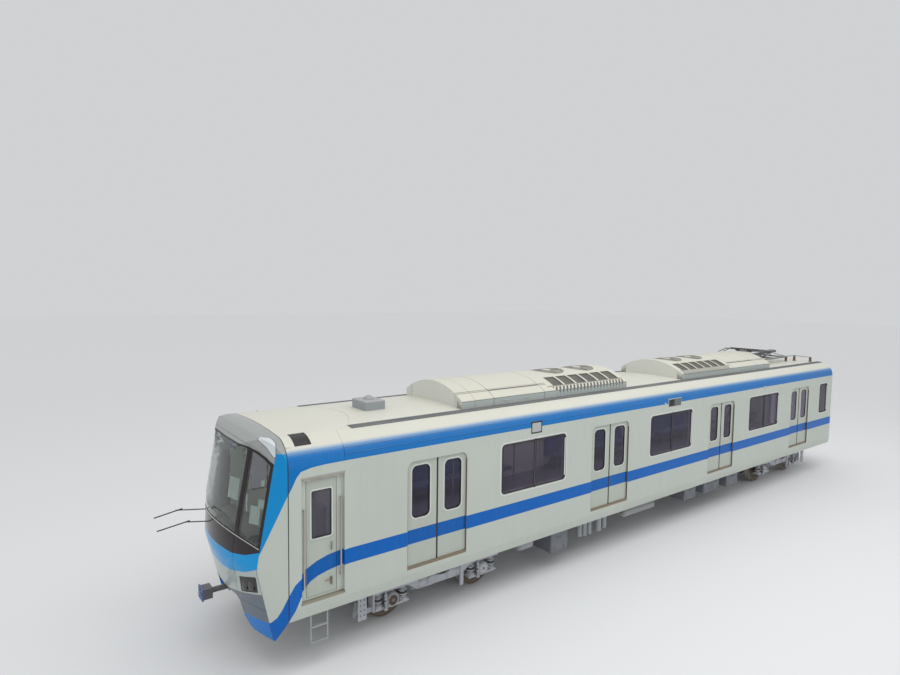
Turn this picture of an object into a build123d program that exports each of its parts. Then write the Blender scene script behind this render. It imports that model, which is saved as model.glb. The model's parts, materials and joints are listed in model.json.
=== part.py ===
"""Leading car of a metro train: aluminium body, moulded cab nose, two motor bogies.

Frame: +X forward, +Y to the driver's left, +Z up. The origin is at the middle of the
overall length, on the centre line, at the tips of the wheel flanges. Millimetres.
Heights are above the rail head; stations are distances behind the joint between
the nose moulding and the body.
"""
from build123d import *
import math
import os

CUT = 1  # how far a cut runs past the face it opens

# Rail, wheels and axles
FLANGE_DEPTH = 28
WHEEL_DIAMETER = 860
BACK_TO_BACK = 1360
WHEEL_WIDTH = 135
RIM_DEPTH = 85
FLANGE_THICKNESS = 32
WHEEL_WEB_INSET = 30
HUB_RADIUS = 150
HUB_REACH = 20
HUB_CHAMFER = 10
ROOT_RISE = 6
ROOT_RUN = 8
TREAD_FALL = 4
TREAD_CHAMFER = (6, 8)
JOURNAL_STEP = 25
AXLE_RADIUS = 85
JOURNAL_RADIUS = 60
JOURNAL_LENGTH = 205
BEARING_CLEARANCE = 0.08

# Length of the car
BODY_LENGTH = 19700
REAR_BUFFER = 250
WIPER_REACH = 1507
CAB_JOINT_X = (BODY_LENGTH + REAR_BUFFER + WIPER_REACH) / 2 - WIPER_REACH

# Body section
HALF_WIDTH = 1475
SIDE_BOTTOM = 850
SKIRT_TOP = 1010
SKIRT_LEAN = 20
CANTRAIL = 3220
SHOULDER_RADIUS = 430
CROWN_SLOPE = 5
CEILING = 3420
CEILING_COVE = 180
OUTER_SKIN = 30
POCKET_GAP = 44
INNER_SKIN = 26
PANEL_JOINT = 0.3
LINING_PLANE = HALF_WIDTH - OUTER_SKIN - POCKET_GAP - INNER_SKIN
FLOOR_TOP = 1130
FLOOR_THICKNESS = 100
UNDER_INSET = 175
UNDER_HALF = HALF_WIDTH - UNDER_INSET
UNDERFRAME_DEPTH = 60
UNDERFRAME_BOTTOM = FLOOR_TOP - FLOOR_THICKNESS - UNDERFRAME_DEPTH
UNDERFRAME_RAILS = ((1100, 1180), (700, 760))
CROSS_MEMBER_PITCH = 1150
CROSS_MEMBER_SIZE = (70, 40)

# Roof details
GUTTER_ANGLES = (14, 28)
GUTTER_RISE = 7
GUTTER_WIDTH = 14
HOOD_REAR = 1570
HOOD_SHOULDER = ((930, 1150), (1190, 1000))
HOOD_SEAM = 10
HOOD_SEAM_DEPTH = 6
HATCH_FRONT = 150
HATCH_SIZE = (270, 310)
HATCH_INSET = 130
HATCH_DEPTH = 10
STRIP_GAP = 22
STRIP_WIDTH = 150
STRIP_RISE = 12
STRIP_FRONT = 1210
STRIP_REAR_MARGIN = 60
STRIP_GROOVES = 4
STRIP_GROOVE_WIDTH = 12
STRIP_GROOVE_DEPTH = 6

# Passenger doors
DOOR_STATIONS = (2760, 7580, 12400, 17220)
DOOR_WIDTH = 1300
DOOR_TOP = 2990
DOOR_CORNER = 130
DOOR_TRAVEL = 630
LEAF_THICKNESS = 32
LEAF_LAP = 22
LEAF_SEAL_GAP = 0.3
LEAF_FLOOR_GAP = 5
LEAF_WINDOW = (380, 930, 100)
LEAF_WINDOW_SILL = 1968
LEAF_WINDOW_OFFSET = 350
POCKET_END_GAP = 15
SHOE_LENGTH = 60
SHOE_WIDTH = 20
SHOE_INSET = 80
SHOE_CLEARANCE = 0.3
SILL_DEPTH = 40
SILL_GROOVE = 5
SILL_GROOVE_PITCH = 15
GLASS_THICKNESS = 8

# Saloon windows
WINDOW_TABLE = (
    # station, width, has a middle bar
    (5170, 1830, True),
    (9990, 1830, True),
    (14810, 1830, True),
    (19015, 630, False),
)
WINDOW_SILL = 1985
WINDOW_TOP = 2990
WINDOW_CORNER = 70
WINDOW_REBATE = 30
WINDOW_REBATE_DEPTH = 24
WINDOW_BAR = 24
WINDOW_FRAME_SETBACK = 1

# Cab side door, in a recess of the outer skin
CAB_RECESS_FRONT = 200
CAB_RECESS_WIDTH = 720
CAB_RECESS_SILL = 1080
CAB_RECESS_TOP = 3030
CAB_RECESS_DEPTH = 60
CAB_DOOR_FRONT = 300
CAB_DOOR_WIDTH = 500
CAB_DOOR_TOP = 2970
CAB_DOOR_THICKNESS = 34
CAB_DOOR_GAP = 10
CAB_DOOR_FLOOR_GAP = 6
CAB_DOOR_WINDOW = (340, 760, 30)
CAB_DOOR_WINDOW_SILL = 2050
CAB_DOOR_WINDOW_BEAD = (22, 8)
CAB_HANDLE_HEIGHTS = (1310, 1880)
CAB_HANDLE_INSET = 90
CAB_HANDLE_LENGTH = 130
CAB_HANDLE_REACH = 30
CAB_HANDLE_RADIUS = 9
CAB_RAIL_TABLE = (
    # station, foot, head
    (245, 1300, 2560),
    (865, 1350, 2650),
)
CAB_RAIL_RADIUS = 14
BRACKET_RATIO = 0.75
CAB_RAIL_REACH = 45
CAB_DRIP_RAIL = (22, 50)
CAB_DRIP_RAIL_GAP = 6
LADDER_STATIONS = (370, 650)
LADDER_FOOT = 360
LADDER_RUNGS = (380, 630)
LADDER_INSET = 70
LADDER_RADIUS = 14
RUNG_SIZE = (60, 16)

# Hinges of the cab doors and the bulkhead door
HINGE_HEIGHTS = (1400, 2100, 2800)
HINGE_SETBACK = 20
HINGE_RADIUS = 12
HINGE_BARREL = 60
HINGE_END_GAP = 0.6
HINGE_TAB = 45
HINGE_TAB_DEPTH = 5

# Partition between cab and saloon, rear end wall and gangway
BULKHEAD_STATION = 1280
BULKHEAD_THICKNESS = 60
BULKHEAD_DOOR_Y = -600
BULKHEAD_DOOR_THICKNESS = 32
BULKHEAD_DOOR_GAP = 8
BULKHEAD_DOOR_WIDTH = 650
BULKHEAD_DOOR_TOP = 3030
BULKHEAD_WINDOW = (330, 800, 40)
BULKHEAD_WINDOW_SILL = 1950
END_WALL_THICKNESS = 100
GANGWAY_WIDTH = 1300
GANGWAY_TOP = 3080
GANGWAY_STEP = 40
GANGWAY_FOLDS = 5
GANGWAY_VALLEY = 90
GANGWAY_RIDGE = 130

# Nose moulding: a ruled surface through four plan sections, under a curved hood
NOSE_SECTIONS = (
    # height, crease x, nose x
    (450, 170, 395),
    (1725, 450, 725),
    (2350, 335, 735),
    (3750, 80, 530),
)
NOSE_REACH = 1000
CREASE_INSET = 125
CREASE_RADIUS = 70
INNER_CREASE_RADIUS = 25
NOSE_WALL = 40
NOSE_SETBACK = 4
HOOD_PROFILE = ((0, 0), (360, -95), (610, -400))
SCREEN_SILL = 2250
SCREEN_SILL_DROP = 190
HOOD_EDGE = ((680, 3552), (1070, 3471), (1340, 3290))
HOOD_EDGE_GROOVE = 12
SCREEN_TOP_MARGIN = 58
CENTRE_PANE = (865, 815)
CORNER_PANE = (930, 885, 1290)
SCREEN_CORNER = 35
SCREEN_INSET = 6
SCREEN_CUT_FRONT = 60
HEADLAMP_OUTLINE = ((805, 1235), (865, 1515), (1305, 1635), (1262, 1365))
HEADLAMP_CORNER = 22
HEADLAMP_DEPTH = 60
PANEL_SEAM_LINE = ((835, 2120), (668, 1070))
APRON_SEAM_HEIGHT = 1085
NOSE_SEAM = 7
NOSE_SEAM_DEPTH = 6
ARCH_FOOT = ((1345, 590), (940, 590))
ARCH_TURN = ((738, 665), (655, 870))
ARCH_SIDE = (645, 975)
ARCH_TOP = ((612, 1050), (530, 1080))
CHEEK_EDGE = ((10, 870), (190, 575))
BELOW_NOSE = 300

# Bogies
BOGIE_STATIONS = (3100, 16900)
WHEELBASE = 2100
FRAME_Y = 1000
FRAME_WIDTH = 180
FRAME_END = 1440
FRAME_TOP = 705
FRAME_END_BOTTOM = 600
FRAME_WAIST_TOP = 640
FRAME_WAIST_BOTTOM = 455
FRAME_WAIST = 500
FRAME_SLOPE_TOP = 190
FRAME_SLOPE_BOTTOM = 230
FRAME_BEND = 60
CROSS_TUBE_X = 260
CROSS_TUBE_RADIUS = 85
CROSS_TUBE_HEIGHT = 520
BOSS_X = 190
BOSS_RADIUS = 75
BOSS_REACH = 12
AXLE_BOX_RADIUS = 135
AXLE_COVER_RADIUS = 105
AXLE_COVER_REACH = 18
SPRING_X = 255
SPRING_SEAT = (300, 45)
SPRING_RADII = (92, 62)
SPRING_TIERS = 3
DAMPER_X = 160
DAMPER_RADIUS = 27
AIR_SPRING_RADIUS = 240
AIR_SPRING_NECK = 190
AIR_SPRING_HEIGHT = 190
MOTOR_X = 480
MOTOR_RADIUS = 250
MOTOR_LENGTH = 520
MOTOR_Y = -20
GEAR_CASE_RADIUS = 290
GEAR_CASE_WIDTH = 150
AXLE_CLEARANCE = 5
BRAKE_CLEARANCE = 5
BRAKE_SHOE = (45, 80, 220)
BRAKE_UNIT = (150, 160)
GUARD_PLATE = (30, 300, 390)
GUARD_REACH = 150
GUARD_TOE = 60
GUARD_FOOT = 130
GUARD_FOOT_SIZE = (60, 70)
PIVOT_RADIUS = 80
PIVOT_CLEARANCE = 0.1
PIVOT_BOX = (260, 160, 460, 640)
PIVOT_BOTTOM = 540
BOLSTER_HALF = 280
BOLSTER_BOTTOM = 840

# Air conditioning cases
AIRCON_TABLE = (
    # node, station of the hatch end, station of the fan end
    ("aircon_front", 3650, 8750),
    ("aircon_rear", 16100, 11160),
)
AIRCON_HALF = 980
AIRCON_SIDE_RISE = 119
AIRCON_CROWN_RISE = 414
AIRCON_EDGE = 35
GRILLE_COUNT = 6
GRILLE_SIZE = (320, 320)
GRILLE_PITCH = 390
GRILLE_MARGIN = 340
GRILLE_Y = 700
GRILLE_DEPTH = 18
FAN_PLACES = (730, 1800)
FAN_RADIUS = 420
FAN_HUB = 110
FAN_SPOKE = 26
LOUVRE_COUNT = 20
LOUVRE_PITCH = 115
LOUVRE_SIZE = (26, 20, 62)
LOUVRE_LEAN = 25
LOUVRE_DROP = 42
AIRCON_SEAMS = (330, 820, 2260)
AIRCON_SEAM = 8
AIRCON_SEAM_DEPTH = 5
HINGE_STRIP_Y = 770
HINGE_STRIP = (34, 12)

# Radio aerial
ANTENNA_FRONT = 1950
ANTENNA_SIZE = (430, 540)
ANTENNA_RISE = 170
ANTENNA_EDGE = 25
DOME_RADIUS = 110
DOME_RISE = 75

# Pantograph, folded: pivot near the front of its base, knee at the rear, head in front
PANTO_REAR_MARGIN = 2950
PANTO_FRAME_RISE = 124
PANTO_FRAME_DEPTH = 40
PANTO_PIVOT_RISE = 70
PANTO_LOWER_ARM = 1650
PANTO_UPPER_ARM = 2000
PANTO_LOWER_RISE = 3
PANTO_UPPER_RISE = 2.5
PANTO_SHAFT_RADIUS = 30
PANTO_BOOM_RADIUS = 48
PANTO_KNEE_RADIUS = 25
PANTO_APEX_RADIUS = 20
PANTO_CLEARANCE = 0.1
PANTO_BEARING_Y = (285, 315)
PANTO_UPPER_Y = 88
PANTO_TUBE_RADIUS = 24
PANTO_RAIL_Y = 450
PANTO_RAIL_WIDTH = 80
PANTO_FRAME_FRONT = 160
PANTO_FRAME_OVERHANG = 90
PANTO_HEAD_HALF = 800
PANTO_STRIP_HALF = 560
PANTO_STRIP_SPREAD = 170
PANTO_STRIP_SIZE = (44, 25)
PANTO_HORN_DROP = 150
PANTO_HORN_RADIUS = 12
PANTO_CARRIER_Y = 200
GUIDE_ROD_DROP = 78
GUIDE_ROD_RADIUS = 13
GUIDE_ROD_START = 300
LIFT_SPRING_Y = 150
LIFT_SPRING_RADIUS = 24
LIFT_SPRING_LENGTH = 800
KNEE_REST_GAP = 6
INSULATOR_RADII = (38, 70)
INSULATOR_SHEDS = 3
BUSBAR_RADIUS = 11
BUSBAR_POSTS = (
    # distance from the rear end, y, height above the roof's crown
    (770, 520, 170),
    (420, 900, 120),
)

# Couplers
COUPLER_HEIGHT = 980
COUPLER_FACE = 920
COUPLER_SHANK_RADIUS = 45
COUPLER_PLATE = (120, 100, 25)
COUPLER_HEAD = (105, 85, 145)
COUPLER_COLLAR = (80, 40)
COUPLER_COLLAR_X = 430
COUPLER_POCKET = (-520, -380)
DRAWBAR_HEIGHT = 880
DRAWBAR_RADIUS = 60
DRAWBAR_FLANGE = (125, 40)
DRAWBAR_POCKET = (300, 480)
POCKET_HALF = 200
POCKET_DROP = 125

# Cab and saloon fittings
CAB_FLOOR_PLAN = ((0, 175), (240, 235), (420, 775))
CAB_BEAM = (220, 400, 190)
DESK_HALF = 800
DESK_PROFILE = ((-60, 0), (-60, 370), (-160, 670), (-160, 730), (60, 790), (120, 930), (400, 930), (400, 200),
                (210, 200), (210, 0))
DRIVER_STATION = 800
DRIVER_Y = 430
DRIVER_SEAT_HALF = 230
DRIVER_SEAT_HEIGHT = 400
DRIVER_CUSHION = 100
DRIVER_BACK = 600
SEAT_TABLE = (
    # front station, rear station
    (3560, 6780),
    (8380, 11600),
    (13200, 16420),
    (18020, 19450),
)
SEAT_DEPTH = 450
SEAT_HEIGHT = 430
SEAT_THICKNESS = 70
SEAT_FOOT = 150
SEAT_HEATER = 120
SEAT_BACK_HEIGHT = 850
SEAT_BACK = (50, 110)
POLE_RADIUS = 16
POLE_INSET = 525
POLE_JOINT = 0.3
OVERHEAD_RAIL = 2980

# Below the floor
CASE_TABLE = (
    # front station, rear station, inner y, side, bottom height, lids
    (5870, 6400, 760, 1, 350, 1),
    (10950, 11500, 690, 1, 470, 1),
    (11900, 12700, 690, 1, 480, 2),
    (13100, 13730, 690, 1, 440, 1),
    (5870, 7900, 650, -1, 380, 3),
    (8400, 10400, 600, -1, 420, 4),
    (10950, 13730, 650, -1, 440, 4),
)
LID_MARGIN = 25
LID_RISE = 6
TANK_TABLE = (
    # front station, rear station, inset from the line of the cases, height, radius
    (8505, 9770, 170, 610, 105),
    (8505, 9770, 570, 610, 105),
    (5000, 5450, 170, 690, 130),
)
TANK_DOME = 0.55
TOWER_TABLE = (
    # station, inset from the line of the cases, radius, bottom height
    (6960, 160, 62, 420),
    (7130, 160, 62, 400),
    (7300, 160, 62, 400),
    (7620, 160, 75, 400),
    (7830, 160, 62, 430),
)
HANGER = (40, 60)
HANGER_INSET = 150

WIPER_TABLE = (
    # y, then reach and height of the arm's base, the elbow and the blade's two ends
    (-620, (620, 2130), (1133, 2215), (1026, 2222), (1465, 2151)),
    (-150, (680, 2080), (1085, 2154), (1021, 2163), (WIPER_REACH, 2096)),
)
WIPER_ARM_RADIUS = 9
WIPER_BLADE_RADIUS = 10


def rail(height):
    """Height in the part's frame of a height above the rail head."""
    return FLANGE_DEPTH + height


def behind(station):
    """X of a station given as a distance behind the cab joint."""
    return CAB_JOINT_X - station


def block(x0, x1, y0, y1, z0, z1):
    """Box between two corners."""
    return Pos((x0 + x1) / 2, (y0 + y1) / 2, (z0 + z1) / 2) * Box(abs(x1 - x0), abs(y1 - y0), abs(z1 - z0))


def side_view(y):
    """Plane whose sketch coordinates are X and Z; extruding goes towards -Y."""
    return Plane(origin=(0, y, 0), x_dir=(1, 0, 0), z_dir=(0, -1, 0))


def end_view(x):
    """Plane whose sketch coordinates are Y and Z; extruding goes towards +X."""
    return Plane(origin=(x, 0, 0), x_dir=(0, 1, 0), z_dir=(1, 0, 0))


def side_prism(sketch, y0, y1):
    """Sketch in X and Z, as a prism from y0 to y1."""
    top, bottom = max(y0, y1), min(y0, y1)
    return extrude(side_view(top) * sketch, top - bottom)


def end_prism(sketch, x0, x1):
    """Sketch in Y and Z, as a prism from x0 to x1."""
    rear, front = min(x0, x1), max(x0, x1)
    return extrude(end_view(rear) * sketch, front - rear)


def plan_prism(sketch, z0, z1):
    """Sketch in X and Y, as a prism from z0 to z1."""
    return extrude(Pos(0, 0, z0) * sketch, z1 - z0)


def rounded_panel(x, width, z0, z1, radius, y0, y1):
    """Upright rounded rectangle, centred on x, as a prism from y0 to y1."""
    sketch = Pos(x, (z0 + z1) / 2) * RectangleRounded(width, z1 - z0, radius)
    return side_prism(sketch, y0, y1)


def arched_panel(x, width, z0, z1, radius, y0, y1):
    """Upright rectangle with only its two top corners rounded, from y0 to y1."""
    half = width / 2
    outline = Polyline((x - half, z1 - radius), (x - half, z0), (x + half, z0), (x + half, z1 - radius))
    outline += RadiusArc((x + half, z1 - radius), (x + half - radius, z1), -radius)
    outline += Line((x + half - radius, z1), (x - half + radius, z1))
    outline += RadiusArc((x - half + radius, z1), (x - half, z1 - radius), -radius)
    return side_prism(make_face(outline), y0, y1)


def rod(start, end, radius):
    """Round bar between two points."""
    path = Vector(*end) - Vector(*start)
    plane = Plane(origin=start, z_dir=path.normalized())
    return extrude(plane * Circle(radius), path.length)


def cross_bar(x, z, half, radius):
    """Round bar across the car, centred on its centre line."""
    return Pos(x, 0, z) * Rot(90, 0, 0) * Cylinder(radius, 2 * half)


def barrel(x, y0, y1, z, radius):
    """Round bar across the car from y0 to y1."""
    return Pos(x, (y0 + y1) / 2, z) * Rot(90, 0, 0) * Cylinder(radius, abs(y1 - y0))


def both_sides(shapes):
    """List of the shapes and their mirror images across the centre line."""
    return shapes + mirrored(shapes)


def mirrored(shapes):
    """Mirror images of the shapes across the centre line."""
    return [mirror(shape, Plane.XZ) for shape in shapes]


# Roof section, shared by the roof, the nose and what stands on the roof

def crown_end():
    """Point where the shoulder arc meets the crown arc."""
    angle = math.radians(CROWN_SLOPE)
    centre_y = HALF_WIDTH - SHOULDER_RADIUS
    return centre_y + SHOULDER_RADIUS * math.sin(angle), CANTRAIL + SHOULDER_RADIUS * math.cos(angle)


def crown_top():
    """Height of the roof's middle above the rail."""
    angle = math.radians(CROWN_SLOPE)
    y, z = crown_end()
    return z + y / math.sin(angle) * (1 - math.cos(angle))


def shoulder_middle():
    """Point halfway along the shoulder arc."""
    angle = math.radians((90 + CROWN_SLOPE) / 2)
    centre_y = HALF_WIDTH - SHOULDER_RADIUS
    return centre_y + SHOULDER_RADIUS * math.sin(angle), CANTRAIL + SHOULDER_RADIUS * math.cos(angle)


def roof_edges():
    """Roof arcs from the left cantrail over the crown to the right one, in Y and Z."""
    end_y, end_z = crown_end()
    mid_y, mid_z = shoulder_middle()
    arcs = ThreePointArc((HALF_WIDTH, rail(CANTRAIL)), (mid_y, rail(mid_z)), (end_y, rail(end_z)))
    arcs += ThreePointArc((end_y, rail(end_z)), (0, rail(crown_top())), (-end_y, rail(end_z)))
    arcs += ThreePointArc((-end_y, rail(end_z)), (-mid_y, rail(mid_z)), (-HALF_WIDTH, rail(CANTRAIL)))
    return arcs


def roof_section():
    """Everything between the roof's outer face and the height of the cantrails."""
    return make_face(roof_edges() + Line((-HALF_WIDTH, rail(CANTRAIL)), (HALF_WIDTH, rail(CANTRAIL))))


def roof_body(margin=0):
    """Roof section along the whole car, its ends moved out by a margin."""
    return end_prism(roof_section(), behind(BODY_LENGTH) - margin, behind(0) + margin)


def body_section(bottom):
    """Outer section of the car from the roof down to a height, leaning in below the skirt line."""
    foot = HALF_WIDTH - SKIRT_LEAN * (SKIRT_TOP - bottom) / (SKIRT_TOP - SIDE_BOTTOM)
    sides = Polyline((-HALF_WIDTH, rail(CANTRAIL)), (-HALF_WIDTH, rail(SKIRT_TOP)), (-foot, rail(bottom)),
                     (foot, rail(bottom)), (HALF_WIDTH, rail(SKIRT_TOP)), (HALF_WIDTH, rail(CANTRAIL)))
    return make_face(roof_edges() + sides)


def interior_section():
    """Clear section between floor, linings and ceiling, in Y and Z."""
    cove = LINING_PLANE - CEILING_COVE
    return make_face(Polyline((LINING_PLANE, rail(FLOOR_TOP)), (LINING_PLANE, rail(CANTRAIL)),
                              (cove, rail(CEILING)), (-cove, rail(CEILING)), (-LINING_PLANE, rail(CANTRAIL)),
                              (-LINING_PLANE, rail(FLOOR_TOP)), close=True))


# Side walls

def pocket_planes():
    """Y of the pocket's outer and inner face."""
    outer = HALF_WIDTH - OUTER_SKIN
    return outer, outer - POCKET_GAP


def skirt_wedge():
    """What the leaning skirt takes off the left wall's lower edge, in Y and Z."""
    foot = HALF_WIDTH - SKIRT_LEAN
    return make_face(Polyline((HALF_WIDTH, rail(SKIRT_TOP)), (foot, rail(SIDE_BOTTOM)),
                              (foot, rail(SIDE_BOTTOM) - CUT), (HALF_WIDTH + CUT, rail(SIDE_BOTTOM) - CUT),
                              (HALF_WIDTH + CUT, rail(SKIRT_TOP)), close=True))


def side_wall():
    """Left wall: outer skin with the frames between the pockets that the leaves slide in."""
    outer, inner = pocket_planes()
    wall = block(behind(BODY_LENGTH), behind(0), inner, HALF_WIDTH, rail(SIDE_BOTTOM), rail(CANTRAIL))
    wall -= end_prism(skirt_wedge(), behind(BODY_LENGTH) - CUT, behind(0) + CUT)
    reach = DOOR_TRAVEL + DOOR_WIDTH / 2 + LEAF_LAP + POCKET_END_GAP
    for station in DOOR_STATIONS:
        x = behind(station)
        wall -= block(x - reach, x + reach, inner, outer, rail(FLOOR_TOP), rail(DOOR_TOP + LEAF_LAP + LEAF_FLOOR_GAP))
        wall -= arched_panel(x, DOOR_WIDTH, rail(FLOOR_TOP), rail(DOOR_TOP), DOOR_CORNER,
                             LINING_PLANE - CUT, HALF_WIDTH + CUT)
        wall -= block(x - DOOR_WIDTH / 2, x + DOOR_WIDTH / 2, inner, HALF_WIDTH + CUT,
                      rail(FLOOR_TOP - SILL_DEPTH), rail(FLOOR_TOP))
    for station, width, _ in WINDOW_TABLE:
        x = behind(station)
        wall -= rounded_panel(x, width, rail(WINDOW_SILL), rail(WINDOW_TOP), WINDOW_CORNER,
                              HALF_WIDTH - WINDOW_REBATE_DEPTH, HALF_WIDTH + CUT)
        wall -= rounded_panel(x, width - 2 * WINDOW_REBATE, rail(WINDOW_SILL + WINDOW_REBATE),
                              rail(WINDOW_TOP - WINDOW_REBATE), WINDOW_CORNER - WINDOW_REBATE,
                              LINING_PLANE - CUT, HALF_WIDTH)
    recess = behind(CAB_RECESS_FRONT)
    wall -= block(recess - CAB_RECESS_WIDTH, recess, HALF_WIDTH - CAB_RECESS_DEPTH, HALF_WIDTH + CUT,
                  rail(CAB_RECESS_SILL), rail(CAB_RECESS_TOP))
    front = behind(CAB_DOOR_FRONT)
    rear = front - CAB_DOOR_WIDTH
    wall -= block(rear - CAB_DOOR_GAP, front + CAB_DOOR_GAP, LINING_PLANE - CUT, HALF_WIDTH + CUT,
                  rail(FLOOR_TOP), rail(CAB_DOOR_TOP + CAB_DOOR_GAP))
    for piece in cab_hinge_frame():
        wall += piece
    return wall


def side_linings():
    """Left lining panels between the doorways and the headers over them, which close the pockets."""
    outer, inner = pocket_planes()
    doors = [(behind(station + DOOR_WIDTH / 2), behind(station - DOOR_WIDTH / 2)) for station in DOOR_STATIONS]
    fronts = [behind(BULKHEAD_STATION)] + [rear for rear, front in doors]
    rears = [front for rear, front in doors] + [behind(BODY_LENGTH)]
    panels = [block(rear, front, LINING_PLANE, inner, rail(FLOOR_TOP), rail(CANTRAIL))
              for front, rear in zip(fronts, rears)]
    for station, width, _ in WINDOW_TABLE:
        window = rounded_panel(behind(station), width - 2 * WINDOW_REBATE, rail(WINDOW_SILL + WINDOW_REBATE),
                               rail(WINDOW_TOP - WINDOW_REBATE), WINDOW_CORNER - WINDOW_REBATE,
                               LINING_PLANE - CUT, inner + CUT)
        panels = [panel - window for panel in panels]
    headers = [block(rear + PANEL_JOINT, front - PANEL_JOINT, LINING_PLANE, inner, rail(DOOR_TOP), rail(CANTRAIL))
               for rear, front in doors]
    return panels + headers


def door_sills():
    """Left door sills: grooved tread plates let into the wall below each doorway."""
    outer, inner = pocket_planes()
    sills = []
    for station in DOOR_STATIONS:
        x = behind(station)
        half = DOOR_WIDTH / 2
        sill = block(x - half, x + half, inner, HALF_WIDTH, rail(FLOOR_TOP - SILL_DEPTH), rail(FLOOR_TOP))
        middle = rail(FLOOR_TOP - SILL_DEPTH / 2)
        sill -= block(x - half, x + half, HALF_WIDTH - SILL_GROOVE, HALF_WIDTH,
                      middle - SILL_GROOVE / 2, middle + SILL_GROOVE / 2)
        for step in (1, 2):
            y = HALF_WIDTH - step * SILL_GROOVE_PITCH
            sill -= block(x - half, x + half, y - SILL_GROOVE / 2, y + SILL_GROOVE / 2,
                          rail(FLOOR_TOP) - SILL_GROOVE / 2, rail(FLOOR_TOP))
        sills.append(sill)
    return sills


def side_glass():
    """Panes of the left saloon windows, each seated in its rebate."""
    inner = HALF_WIDTH - WINDOW_REBATE_DEPTH
    return [rounded_panel(behind(station), width, rail(WINDOW_SILL), rail(WINDOW_TOP), WINDOW_CORNER,
                          inner, inner + GLASS_THICKNESS)
            for station, width, _ in WINDOW_TABLE]


def window_frames():
    """Frames that hold the left panes in their rebates, with the bar between the two halves."""
    inner = HALF_WIDTH - WINDOW_REBATE_DEPTH + GLASS_THICKNESS
    outer = HALF_WIDTH - WINDOW_FRAME_SETBACK
    frames = []
    for station, width, has_bar in WINDOW_TABLE:
        x = behind(station)
        low, high = rail(WINDOW_SILL + WINDOW_REBATE), rail(WINDOW_TOP - WINDOW_REBATE)
        frame = rounded_panel(x, width, rail(WINDOW_SILL), rail(WINDOW_TOP), WINDOW_CORNER, inner, outer)
        frame -= rounded_panel(x, width - 2 * WINDOW_REBATE, low, high, WINDOW_CORNER - WINDOW_REBATE,
                               inner - CUT, outer + CUT)
        if has_bar:
            frame += block(x - WINDOW_BAR / 2, x + WINDOW_BAR / 2, inner, (inner + outer) / 2, low, high)
        frames.append(frame)
    return frames


# Passenger door leaves

def door_leaf(station, direction):
    """Left leaf that opens towards +X (direction 1) or -X (direction -1)."""
    x = behind(station)
    outer, inner = pocket_planes()
    gap = (POCKET_GAP - LEAF_THICKNESS) / 2
    meeting = x + direction * LEAF_SEAL_GAP / 2
    tail = x + direction * (DOOR_WIDTH / 2 + LEAF_LAP)
    bottom, top = rail(FLOOR_TOP + LEAF_FLOOR_GAP), rail(DOOR_TOP + LEAF_LAP)
    leaf = block(meeting, tail, inner + gap, outer - gap, bottom, top)
    middle = (outer + inner) / 2
    for shoe_x in (meeting + direction * SHOE_INSET, tail - direction * SHOE_INSET):
        leaf += block(shoe_x - SHOE_LENGTH / 2, shoe_x + SHOE_LENGTH / 2, middle - SHOE_WIDTH / 2,
                      middle + SHOE_WIDTH / 2, rail(FLOOR_TOP) + SHOE_CLEARANCE, bottom)
    width, height, radius = LEAF_WINDOW
    sill = rail(LEAF_WINDOW_SILL)
    window_x = x + direction * LEAF_WINDOW_OFFSET
    leaf -= rounded_panel(window_x, width, sill, sill + height, radius, inner, outer)
    pane = rounded_panel(window_x, width, sill, sill + height, radius,
                         middle - GLASS_THICKNESS / 2, middle + GLASS_THICKNESS / 2)
    return [leaf, pane]


# Cab side door and its fittings

def hinge_half(x, y, tab, offsets):
    """Barrels of one hinge half on an upright axis, with the tabs that carry them."""
    x0, x1, y0, y1 = tab
    half = (HINGE_BARREL - HINGE_END_GAP) / 2
    pieces = []
    for height in HINGE_HEIGHTS:
        for step in offsets:
            z = rail(height) + step * HINGE_BARREL
            pieces.append(Pos(x, y, z) * Cylinder(HINGE_RADIUS, 2 * half) + block(x0, x1, y0, y1, z - half, z + half))
    return pieces


def cab_hinge_axis():
    """X and Y of the left cab door's hinge."""
    return behind(CAB_DOOR_FRONT) + CAB_DOOR_GAP / 2, LINING_PLANE - HINGE_SETBACK


def cab_hinge_frame():
    """Hinge barrels fixed to the left wall."""
    x, y = cab_hinge_axis()
    return hinge_half(x, y, (x, x + HINGE_TAB, y - HINGE_TAB_DEPTH, pocket_planes()[1]), (-1, 1))


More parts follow.
